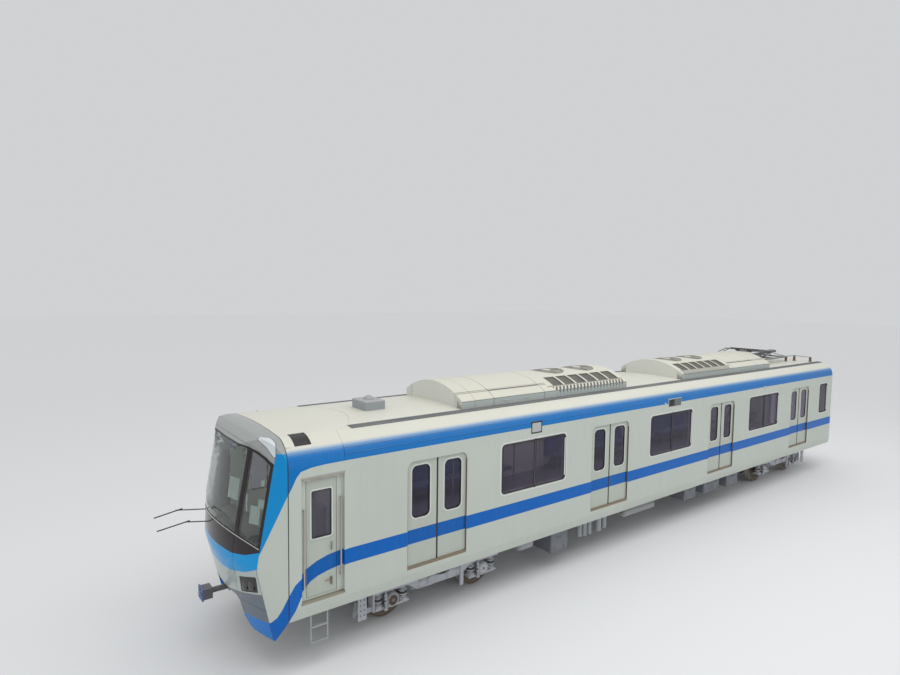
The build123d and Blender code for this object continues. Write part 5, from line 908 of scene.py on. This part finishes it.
def bogie_paint(tree):
    """Grey frame, dark rubber and air springs, pale axle box covers that are brown on the end axles."""
    along, across, height = place_of(tree, "Along", "Across", "Height")
    reach, radius = wheel_place(tree)
    spring = near(reach, SPRING_REACH, 0.0925) * above(height, 0.347, 0.002) * above(0.598, height, 0.002)
    tier = abs(height - 0.472)
    gap = calc("MAXIMUM", above(0.014, tier, 0.004), near(tier, 0.062, 0.005, 0.003))
    shade = mix_tone(spring, BOGIE_GREY, mix_tone(gap, tone(184, 188, 194), tone(52, 50, 52)))
    cover = above(0.106, radius, 0.002) * above(across, BOX_FACE + 0.001, 0.001)
    shade = mix_tone(cover, shade, tone(196, 201, 206))
    at_end = above(abs(along + 10.0), 7.0)
    shade = mix_tone(above(0.096, radius, 0.002) * cover * at_end, shade, tone(76, 60, 56))
    bellows = above(height, 0.65) * above(0.84, height) * above(reach, 0.80)
    return mix_tone(bellows, shade, tone(52, 52, 54))


bogie_finish = weathered("bogie paint", bogie_paint, roughness=0.5, runs=0.2, soil=0.3, grain=70.0,
                         bump=0.25, shine=0.3)
for name in ("bogie_front", "bogie_rear"):
    smooth_copy(name, bogie_finish, name)


def disc(name, centre, radius, depth, axis="Y", rim=0.002, vertices=20):
    """Short cylinder with rounded rims about an axis through its centre."""
    turn = {"X": (0, math.pi / 2, 0), "Y": (math.pi / 2, 0, 0), "Z": (0, 0, 0)}[axis]
    made = add_shape(bpy.ops.mesh.primitive_cylinder_add, name, centre, turn, vertices=vertices,
                     radius=radius, depth=depth)
    modify(made, "BEVEL", width=rim, segments=2, limit_method="ANGLE")
    bpy.ops.object.shade_smooth_by_angle(angle=math.radians(35))
    return made


hole_black = weathered("hole black", tone(30, 30, 32), roughness=0.55, soil=0.3, grain=100.0)
for name, axles, outwards in (("bogie_front", AXLES[:2], 1), ("bogie_rear", AXLES[2:], -1)):
    bolts, pipes = [], []
    centre = -sum(axles) / 2
    for axle in axles:
        for step in range(BOX_BOLTS):
            angle = 2 * math.pi * step / BOX_BOLTS
            spot = (BOLT_CIRCLE * math.cos(angle) - axle, BOX_FACE + 0.0215,
                    AXLE_HEIGHT + BOLT_CIRCLE * math.sin(angle))
            bolts.append(disc("bolt", spot, 0.011, 0.008, vertices=6))
        bolts.append(disc("cap", (-axle, BOX_FACE + 0.0215, AXLE_HEIGHT), 0.03, 0.008, rim=0.003,
                          vertices=32))
        for x in (SPRING_REACH - axle, -SPRING_REACH - axle):
            bolts.append(disc("nut", (x, 1.0, 0.288), 0.026, 0.02, "Z", vertices=6))
        pipes.append(bead("pipe", [(x - axle, 1.098, 0.665) for x in (-0.26, 0, 0.26)], 0.010))
        for x in (-0.22 - axle, -axle, 0.22 - axle):
            pipes.append(place_box("clip", (x - 0.015, 1.088, 0.648), (x + 0.015, 1.111, 0.682), 0.004))
    guard = centre + outwards * 1.655
    castings = [place_box("guard", (guard - 0.085, 1.075, 0.24), (guard + 0.085, 1.10, 0.70), 0.006),
                place_box("brace", (centre - 0.55, 1.07, 0.24), (centre - 0.47, 1.11, 0.70), 0.006)]
    castings += [disc("boss", (x, 1.099, 0.548), 0.088, 0.026, rim=0.005, vertices=40)
                 for x in (centre + 0.22, centre - 0.24)]
    holes = [disc("hole", (guard + x, 1.0985, 0.33 + row * 0.09), 0.013, 0.006, vertices=16)
             for row in range(4) for x in (-0.035, 0.035)]
    settle(name + "_castings", both(castings), bogie_finish, name)
    settle(name + "_holes", both(holes), hole_black, name)
    for middle in (centre - 0.19, centre + 0.19):
        for x in (middle - 0.036, middle + 0.036):
            for z in (0.516, 0.579):
                bolts.append(disc("bolt", (x, 1.104, z), 0.008, 0.006, vertices=6))
    bolts.append(place_box("plate", (centre - 0.05, 1.089, 0.60), (centre + 0.05, 1.093, 0.635), 0.001))
    settle(name + "_bolts", both(bolts), bolt_steel, name)
    settle(name + "_pipes", both(pipes), bolt_steel, name)


# Wheelsets: forged wheels on turned axles. The treads and the flanges are polished by the rail, the
# rest is brown.
def wheel_paint(tree):
    """Bright tread and flange root, rust-brown webs, oiled hub."""
    _, radius = wheel_place(tree)
    tread = above(radius, 0.422, 0.002) * above(place_of(tree, "Across"), 0.70, 0.004)
    shade = mix_tone(above(radius, 0.345, 0.004), tone(92, 80, 70), tone(112, 96, 84))
    return mix_tone(tread, shade, tone(176, 174, 168))


wheel_finish = weathered("wheel steel", wheel_paint, metallic=0.55, soil=0.35, grain=90.0, bump=0.2)
for number in range(1, 5):
    smooth_copy(f"wheelset_{number}", wheel_finish, f"wheelset_{number}")


# Equipment below the floor: hung cases with latched lids, air cylinders with bright pipes, the
# dryer towers, and the bolsters that rest on the bogies.
CASE_FACE, CASE_TOP = 1.306, 0.97
CASES = (
    # front, rear, side, foot, lids
    (5.87, 6.40, 1, 0.350, 1), (10.95, 11.50, 1, 0.470, 1), (11.90, 12.70, 1, 0.480, 2),
    (13.10, 13.73, 1, 0.440, 1), (5.87, 7.90, -1, 0.380, 3), (8.40, 10.40, -1, 0.420, 4),
    (10.95, 13.73, -1, 0.440, 4))
PIPES = (
    # distance from the centre line, height, front, rear
    (1.262, 0.945, 5.0, 8.3), (1.235, 0.925, 5.0, 10.8), (1.262, 0.945, 9.9, 13.9),
    (-1.262, 0.945, 5.0, 13.9))
case_finish = weathered("case paint", tone(112, 118, 128), roughness=0.48, runs=0.25, soil=0.3, bump=0.2)
dress(case_finish, "equipment_cases", "bolsters")
tank_finish = weathered("air tank paint", tone(164, 170, 174), roughness=0.42, dust=0.45, runs=0.2,
                        soil=0.35, grain=70.0)
smooth_copy("air_tanks", tank_finish)
latches = []
for front, rear, sign, foot, lids in CASES:
    face = sign * CASE_FACE
    width = (rear - front) / lids
    for lid in range(lids):
        middle = -front - (lid + 0.5) * width
        for x in (middle - width * 0.28, middle + width * 0.28):
            for part, half, z, rise, depth in (("latch", 0.015, foot + 0.07, 0.035, 0.012),
                                               ("hinge", 0.03, CASE_TOP - 0.06, 0.012, 0.010)):
                latches.append(place_box(part, (x - half, face, z - rise),
                                         (x + half, face + sign * depth, z + rise), 0.003))
        z = (foot + CASE_TOP) / 2
        latches.append(bead("grip", [(middle + x, face + sign * out, z) for x, out in (
            (-0.06, 0), (-0.06, 0.03), (0.06, 0.03), (0.06, 0))], 0.006))
settle("case_latches", latches, bolt_steel)
pipes = []
for y, z, front, rear in PIPES:
    pipes.append(bead("pipe", [(-front, y, z), (-(front + rear) / 2, y, z), (-rear, y, z)], 0.011))
    for step in range(4):
        x = -front - (rear - front) * (0.1 + step * 0.27)
        pipes.append(place_box("clip", (x - 0.012, y - 0.018, z - 0.018), (x + 0.012, y + 0.018, 0.9705),
                               0.003))
for y in (1.13, 0.73):
    pipes.append(bead("outlet", [(-8.50, y, 0.61), (-8.42, y, 0.61), (-8.40, y, 0.66), (-8.40, y, 0.93)],
                      0.012))
    pipes.append(disc("valve", (-8.46, y, 0.61), 0.024, 0.05, "X", rim=0.004))
settle("air_pipes", pipes, rail_steel)


# Couplers: the front one has a blue-grey head with a dark mouth, the rear one is a plain drawbar
# in front of the rubber gangway.
COUPLER_HEAD, COUPLER_FACE = 0.893, 0.922


def coupler_paint(tree):
    """Grey shank and a blue-grey head."""
    return mix_tone(above(place_of(tree, "Along"), COUPLER_HEAD, 0.003), tone(84, 86, 92), tone(66, 98, 156))


coupler_finish = weathered("coupler paint", coupler_paint, metallic=0.2, dust=0.4, soil=0.4, grain=80.0,
                           bump=0.25)
dress(coupler_finish, "coupler")
mouth = [place_box("mouth", (0.9195, -0.062, 0.945), (0.9235, 0.012, 1.02), 0.001),
         disc("cone", (COUPLER_FACE, 0.052, 0.98), 0.030, 0.010, "X", rim=0.004),
         disc("port", (COUPLER_FACE, 0.0, 1.055), 0.016, 0.010, "X", rim=0.003)]
settle("coupler_mouth", mouth, lens_dark)
drawbar_finish = weathered("drawbar paint", tone(88, 92, 98), roughness=0.5, metallic=0.3, dust=0.4,
                           soil=0.5, grain=80.0, bump=0.3)
dress(drawbar_finish, "drawbar")
gangway_rubber = weathered("gangway cloth", tone(84, 86, 90), roughness=0.75, dust=0.35, runs=0.1,
                           grain=180.0, bump=0.35)
dress(gangway_rubber, "gangway")


# Cab interior: a rubber floor, a moulded desk with two screens, a row of buttons and a master
# controller. The partition behind is laminate, with a glazed door.
FLOOR_TOP = 1.125
FLOOR_GREY = tone(140, 146, 150)
LINING = tone(214, 214, 206)
DESK_LEAN = math.atan(0.06 / 0.14)


def flooring(ground, chips):
    """Paint of a floor: rubber with small light chips in it on top, grey below."""
    def paint(tree):
        spots = pattern(tree, "Voronoi", Scale=90.0)
        rubbered = mix_tone(above(0.22, spots, 0.05), ground, chips)
        return mix_tone(above(place_of(tree, "Height"), FLOOR_TOP), FLOOR_GREY, rubbered)
    return paint


cab_floor_finish = weathered("cab floor", flooring(tone(60, 66, 72), tone(112, 118, 124)), roughness=0.6,
                             soil=0.4, grain=90.0, bump=0.2)
dress(cab_floor_finish, "cab_floor")
desk_finish = weathered("desk moulding", tone(56, 60, 68), roughness=0.55, soil=0.0, grain=220.0, bump=0.35,
                        shine=0.3)
smooth_copy("driver_desk", desk_finish, angle=20)
screen_glass, tree = start_material("desk screen")
smear = pattern(tree, "Noise", Scale=14.0, Detail=4.0)
set_shader(tree, Base_Color=mix_tone(smear, tone(22, 26, 32), tone(36, 40, 46)),
           Roughness=0.06 + smear * 0.1)
button_white = weathered("pale buttons", tone(196, 198, 194), roughness=0.4, dust=0.2, grain=200.0, bump=0.1)
frames, screens = [], []
for y in (0.16, 0.62):
    frames.append(place_box("frame", (0.082, y - 0.135, 1.923), (0.094, y + 0.135, 2.059), 0.003,
                            (0, DESK_LEAN, 0)))
    screens.append(place_box("screen", (0.080, y - 0.1125, 1.943), (0.086, y + 0.1125, 2.043), 0.001,
                             (0, DESK_LEAN, 0)))
buttons = [disc("button", (-0.005, 0.10 + step * 0.062, 1.906), 0.012, 0.022, "Z", vertices=16)
           for step in range(9)]
settle("desk_frames", frames, rubber)
settle("desk_screens", screens, screen_glass)
settle("desk_buttons", buttons, button_white)
lever = [bead("stem", [(-0.10, 0.20, 1.868), (-0.105, 0.20, 1.91), (-0.12, 0.20, 1.955)], 0.008),
         place_box("base", (-0.14, 0.165, 1.862), (-0.06, 0.235, 1.882), 0.005),
         disc("knob", (-0.122, 0.20, 1.962), 0.017, 0.09, rim=0.006)]
settle("master_controller", lever, rubber)


def partition_paint(tree):
    """Laminate with cupboard joints on the cab side and a dark skirting."""
    side, height = place_of(tree, "Side", "Height")
    lines = above(1.19, height, 0.002)
    for value, joint in ((side, -0.21), (side, 0.33), (side, 0.87), (height, 1.72), (height, 3.05)):
        lines = calc("MAXIMUM", lines, near(value, joint, 0.003, 0.001))
    return mix_tone(lines * 0.8, LINING, tone(74, 78, 84))


partition_finish = weathered("partition laminate", partition_paint, roughness=0.42, dust=0.1, soil=0.1,
                             grain=120.0, bump=0.08)
dress(partition_finish, "cab_bulkhead")
inner_door_finish = weathered("partition door", tone(190, 194, 192), roughness=0.42, dust=0.1, soil=0.1,
                              grain=120.0, bump=0.08)
inner_leaf = smooth_copy("bulkhead_door", inner_door_finish, "bulkhead_door")
face_with(inner_leaf, dark_glass, lambda x, y, z: abs(y - 0.6) < 0.166 and abs(z - 2.35) < 0.401
          and abs(x + 1.296) < 0.0045)


# Driver's seat: foam cushion and back covered in dark blue cloth and crowned, on a round pedestal.
# Pan 0.41 m square, back 0.55 m high.
SEAT_X, SEAT_Y, SEAT_TOP = -0.80, 0.43, 1.63
cloth_finish, tree = start_material("driver's seat cloth")
warp, weft = (pattern(tree, "Wave", 1, {"bands_direction": way}, Scale=240.0) for way in ("Y", "DIAGONAL"))
yarn = warp * weft
wear = pattern(tree, "Noise", Scale=9.0, Detail=5.0)
shade = mix_tone(yarn, tone(34, 42, 66), tone(62, 72, 100))
relief = add_node(tree, "Bump", Strength=0.3, Distance=0.001, Height=yarn)
set_shader(tree, Base_Color=mix_tone(above(wear, 0.55, 0.3), shade, tone(70, 78, 98)), Roughness=0.85,
           Sheen_Weight=0.25, Normal=Field(relief.outputs[0]))


def stuffed(name, low, high):
    """Cushion: a rounded box of cloth, swollen by pressure, its swelling applied to the mesh."""
    made = place_box(name, low, high, bevel=0.016)
    with whole_mesh():
        bpy.ops.mesh.subdivide(number_cuts=5)
    soft = made.modifiers.new("cloth", "CLOTH")
    soft.settings.quality = 6
    soft.settings.mass = 0.4
    soft.settings.tension_stiffness = 60
    soft.settings.compression_stiffness = 60
    soft.settings.bending_stiffness = 12
    soft.settings.use_pressure = True
    soft.settings.uniform_pressure_force = 1.6
    soft.settings.effector_weights.gravity = 0
    for frame_number in range(1, 15):
        bpy.context.scene.frame_set(frame_number)
    bpy.context.view_layer.objects.active = made
    bpy.ops.object.modifier_apply(modifier="cloth")
    bpy.context.scene.frame_set(1)
    bpy.ops.object.shade_smooth()
    settle(name, [made], cloth_finish)


stuffed("driver_seat_cushion", (SEAT_X - 0.205, SEAT_Y - 0.205, SEAT_TOP - 0.085),
        (SEAT_X + 0.205, SEAT_Y + 0.205, SEAT_TOP - 0.005))
stuffed("driver_seat_back", (SEAT_X - 0.21, SEAT_Y - 0.205, SEAT_TOP + 0.02),
        (SEAT_X - 0.145, SEAT_Y + 0.205, SEAT_TOP + 0.575))
stand = [disc("foot", (SEAT_X, SEAT_Y, 1.14), 0.21, 0.02, "Z", 0.004, 40),
         disc("column", (SEAT_X, SEAT_Y, 1.335), 0.05, 0.39, "Z", 0.002, 28),
         place_box("tray", (SEAT_X - 0.19, SEAT_Y - 0.18, 1.525), (SEAT_X + 0.19, SEAT_Y + 0.18, 1.549),
                   0.006),
         place_box("stay", (SEAT_X - 0.222, SEAT_Y - 0.05, 1.53), (SEAT_X - 0.208, SEAT_Y + 0.05, 1.95),
                   0.004)]
stand = settle("driver_seat_stand", stand, rubber)
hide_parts("driver_seat")


# Saloon: speckled rubber floor, laminate linings with panel joints, long benches of moulded blue
# seats along both walls, stainless poles and overhead rails, and two rows of ceiling lights.
BENCHES = ((3.56, 6.78), (8.38, 11.60), (13.20, 16.42), (18.02, 19.45))
SEAT_PITCH, SEAT_GAP = 0.46, 0.016
REST_Y, REST_FOOT, REST_LEAN = 1.2, 1.60, math.atan(0.06 / 0.42)
floor_finish = weathered("saloon floor", flooring(tone(78, 86, 100), tone(132, 140, 152)), roughness=0.55,
                         dust=0.2, soil=0.4, grain=90.0, bump=0.2)
dress(floor_finish, "floor")


def lining_paint(tree):
    """Laminate with upright joints between the panels and a dark skirting."""
    along, height = place_of(tree, "Along", "Height")
    lines = above(0.004, (along + 0.76) % 1.205, 0.001) * above(3.0, height)
    lines = calc("MAXIMUM", lines, above(1.22, height, 0.002))
    return mix_tone(lines * 0.7, LINING, tone(96, 100, 104))


lining_finish = weathered("lining laminate", lining_paint, roughness=0.4, dust=0.1, soil=0.1, grain=120.0,
                          bump=0.06)
dress(lining_finish, "side_linings")


def bench_paint(tree):
    """Blue moulding above, brushed grey heater case with slots below."""
    along, height = place_of(tree, "Along", "Height")
    slots = above(along % 0.05, 0.032, 0.002) * (above(1.42, height) * above(height, 1.33))
    heater = mix_tone(slots * 0.8, tone(168, 172, 174), tone(40, 40, 44))
    return mix_tone(above(height, 1.4898, 0.0004), heater, tone(46, 78, 116))


bench_finish = weathered("bench moulding", bench_paint, roughness=0.35, dust=0.1, soil=0.1, grain=160.0,
                         bump=0.1)
dress(bench_finish, "seats")
shell_finish = weathered("seat shells", tone(54, 92, 134), roughness=0.3, dust=0.1, soil=0.0, grain=160.0,
                         bump=0.1)
shells = []
for front, rear in BENCHES:
    count = round((rear - front) / SEAT_PITCH)
    pitch = (rear - front) / count
    half = pitch / 2 - SEAT_GAP
    for seat in range(count):
        x = (seat + 0.5) * pitch - rear
        shells.append(place_box("shell", (x - half, 0.945, 1.556), (x + half, 1.262, 1.576), 0.008))
        shells.append(place_box("rest", (x - half, REST_Y, REST_FOOT), (x + half, 1.218, 1.955), 0.008))
        with whole_mesh():
            bpy.ops.transform.rotate(value=REST_LEAN, orient_axis="X",
                                     center_override=(JOINT + x, REST_Y, RAIL + REST_FOOT))
            bpy.ops.transform.translate(value=(0, 0.058, 0))
settle("seat_shells", both(shells), shell_finish)
pole_steel = weathered("stainless pole", tone(196, 198, 198), roughness=0.22, metallic=0.9, dust=0.05,
                       soil=0.0, grain=160.0, bump=0.05)
dress(pole_steel, "grab_poles")
diffuser = weathered("light diffuser", tone(226, 226, 220), roughness=0.4, dust=0.0, soil=0.0, grain=200.0,
                     bump=0.05)
lights = [place_box("strip", (x - 0.6, 0.50, 3.40), (x + 0.6, 0.64, 3.422), 0.006)
          for x in (-2.2 - step * 1.26 for step in range(14))]
settle("ceiling_lights", both(lights), diffuser)


# Small plates on the band's edge above each window: a lamp housing, a framed side display and a
# small lamp, all blank. The sheets stuck behind the windscreen are blank as well.
SIDE_PLATES = (
    # low corner, high corner, rounding
    ((-5.33, 1.45, 3.105), (-5.05, 1.481, 3.32), 0.025),
    ((-14.85, 1.45, 3.15), (-14.75, 1.480, 3.25), 0.006),
    ((-10.35, 1.44, 3.13), (-9.79, 1.479, 3.335), 0.005), ((-9.70, 1.45, 3.19), (-9.63, 1.478, 3.26), 0.006))
PLATE_EDGES = (((-5.345, 1.46, 3.09), (-5.035, 1.4765, 3.335), 0.006),
               ((-10.335, 1.45, 3.145), (-9.805, 1.480, 3.32), 0.003))
DISPLAYS = (((-10.325, 1.45, 3.155), (-10.05, 1.4815, 3.31), 0.003),)
SHEETS = (
    # inner side, outer side, foot, top
    (0.48, 0.75, 2.66, 2.985), (1.03, 1.225, 2.38, 2.648), (1.15, 1.286, 2.62, 2.76),
    (1.143, 1.21, 2.95, 3.04))
SHEET_DEPTH, SHEET_THICKNESS = 0.042, 0.0012
plate_grey = weathered("side plate", tone(176, 182, 180), roughness=0.4, dust=0.15, runs=0.1, soil=0.0,
                       grain=140.0, bump=0.1)
display_grey, tree = start_material("side display")
rows = pattern(tree, "Wave", 1, {"bands_direction": "Z"}, Scale=12.0)
set_shader(tree, Base_Color=mix_tone(rows, tone(84, 92, 94), tone(106, 114, 116)), Roughness=0.25)
for name, table, finish, slot in (("side_plates", SIDE_PLATES, plate_grey, "body_panel"),
                                  ("side_plate_edges", PLATE_EDGES, rubber, "bellows_rubber"),
                                  ("side_displays", DISPLAYS, display_grey, "glass")):
    settle(name, both([place_box("plate", *row) for row in table]), finish)
paper = weathered("blank sheet", tone(234, 240, 236), roughness=0.7, dust=0.0, soil=0.0, bump=0.02)
sheets = []
for inner, outer, foot, top in SHEETS:
    y, height = (inner + outer) / 2, (foot + top) / 2
    swing = math.atan((nose_front(inner, height) - nose_front(outer, height)) / (outer - inner))
    lean = math.atan((nose_front(y, top) - nose_front(y, foot)) / (top - foot))
    sheets.append(add_shape(bpy.ops.mesh.primitive_cube_add, "sheet",
                            (nose_front(y, height) - SHEET_DEPTH, y, height), (0, lean, swing),
                            (SHEET_THICKNESS, outer - inner, top - foot), size=1))
settle("windscreen_sheets", sheets, paper)


# Studio: a pale floor, a pale sky that lights from all round, a broad soft lamp above, and one
# lamp each in the saloon and in the cab.
floor_tone, tree = start_material("studio floor")
set_shader(tree, Base_Color=tone(228, 228, 228), Roughness=0.9)
bpy.ops.object.select_all(action="DESELECT")
bpy.ops.mesh.primitive_plane_add(size=300, location=(0, 0, -0.001))
ground = bpy.context.object
ground.name = "studio_floor"
ground.data.materials.append(floor_tone)
sky = bpy.data.worlds.new("studio")
bpy.context.scene.world = sky
sky.use_nodes = True
tree = sky.node_tree
tree.nodes.clear()
lit = add_node(tree, "Background", Color=tone(244, 246, 248), Strength=0.88)
seen = add_node(tree, "Background", Color=tone(208, 210, 212), Strength=1.0)
path = add_node(tree, "LightPath")
straight, glossy, through = (Field(path.outputs[name])
                             for name in ("Is Camera Ray", "Is Glossy Ray", "Is Transmission Ray"))
shows = calc("MAXIMUM", calc("MAXIMUM", straight, glossy), through)
pick = add_node(tree, "MixShader")
for value, socket in zip((shows, Field(lit.outputs[0]), Field(seen.outputs[0])), pick.inputs):
    join(value, socket)
add_node(tree, "OutputWorld", Surface=Field(pick.outputs[0]))
for name, spot, tilt, length, width, energy in (
        ("soft_lamp", (2, 6, 14), -22, 26, 9, 1000),
        ("saloon_lamp", (JOINT - 10.4, 0, RAIL + 3.38), 0, 17.6, 1.6, 300),
        ("cab_lamp", (JOINT - 0.62, 0.2, RAIL + 3.36), 0, 0.9, 0.9, 9)):
    bpy.ops.object.light_add(type="AREA", location=spot)
    lamp = bpy.context.object
    lamp.name = name
    lamp.data.shape = "RECTANGLE"
    lamp.data.size = length
    lamp.data.size_y = width
    lamp.data.energy = energy
    lamp.rotation_euler = (math.radians(tilt), 0, 0)
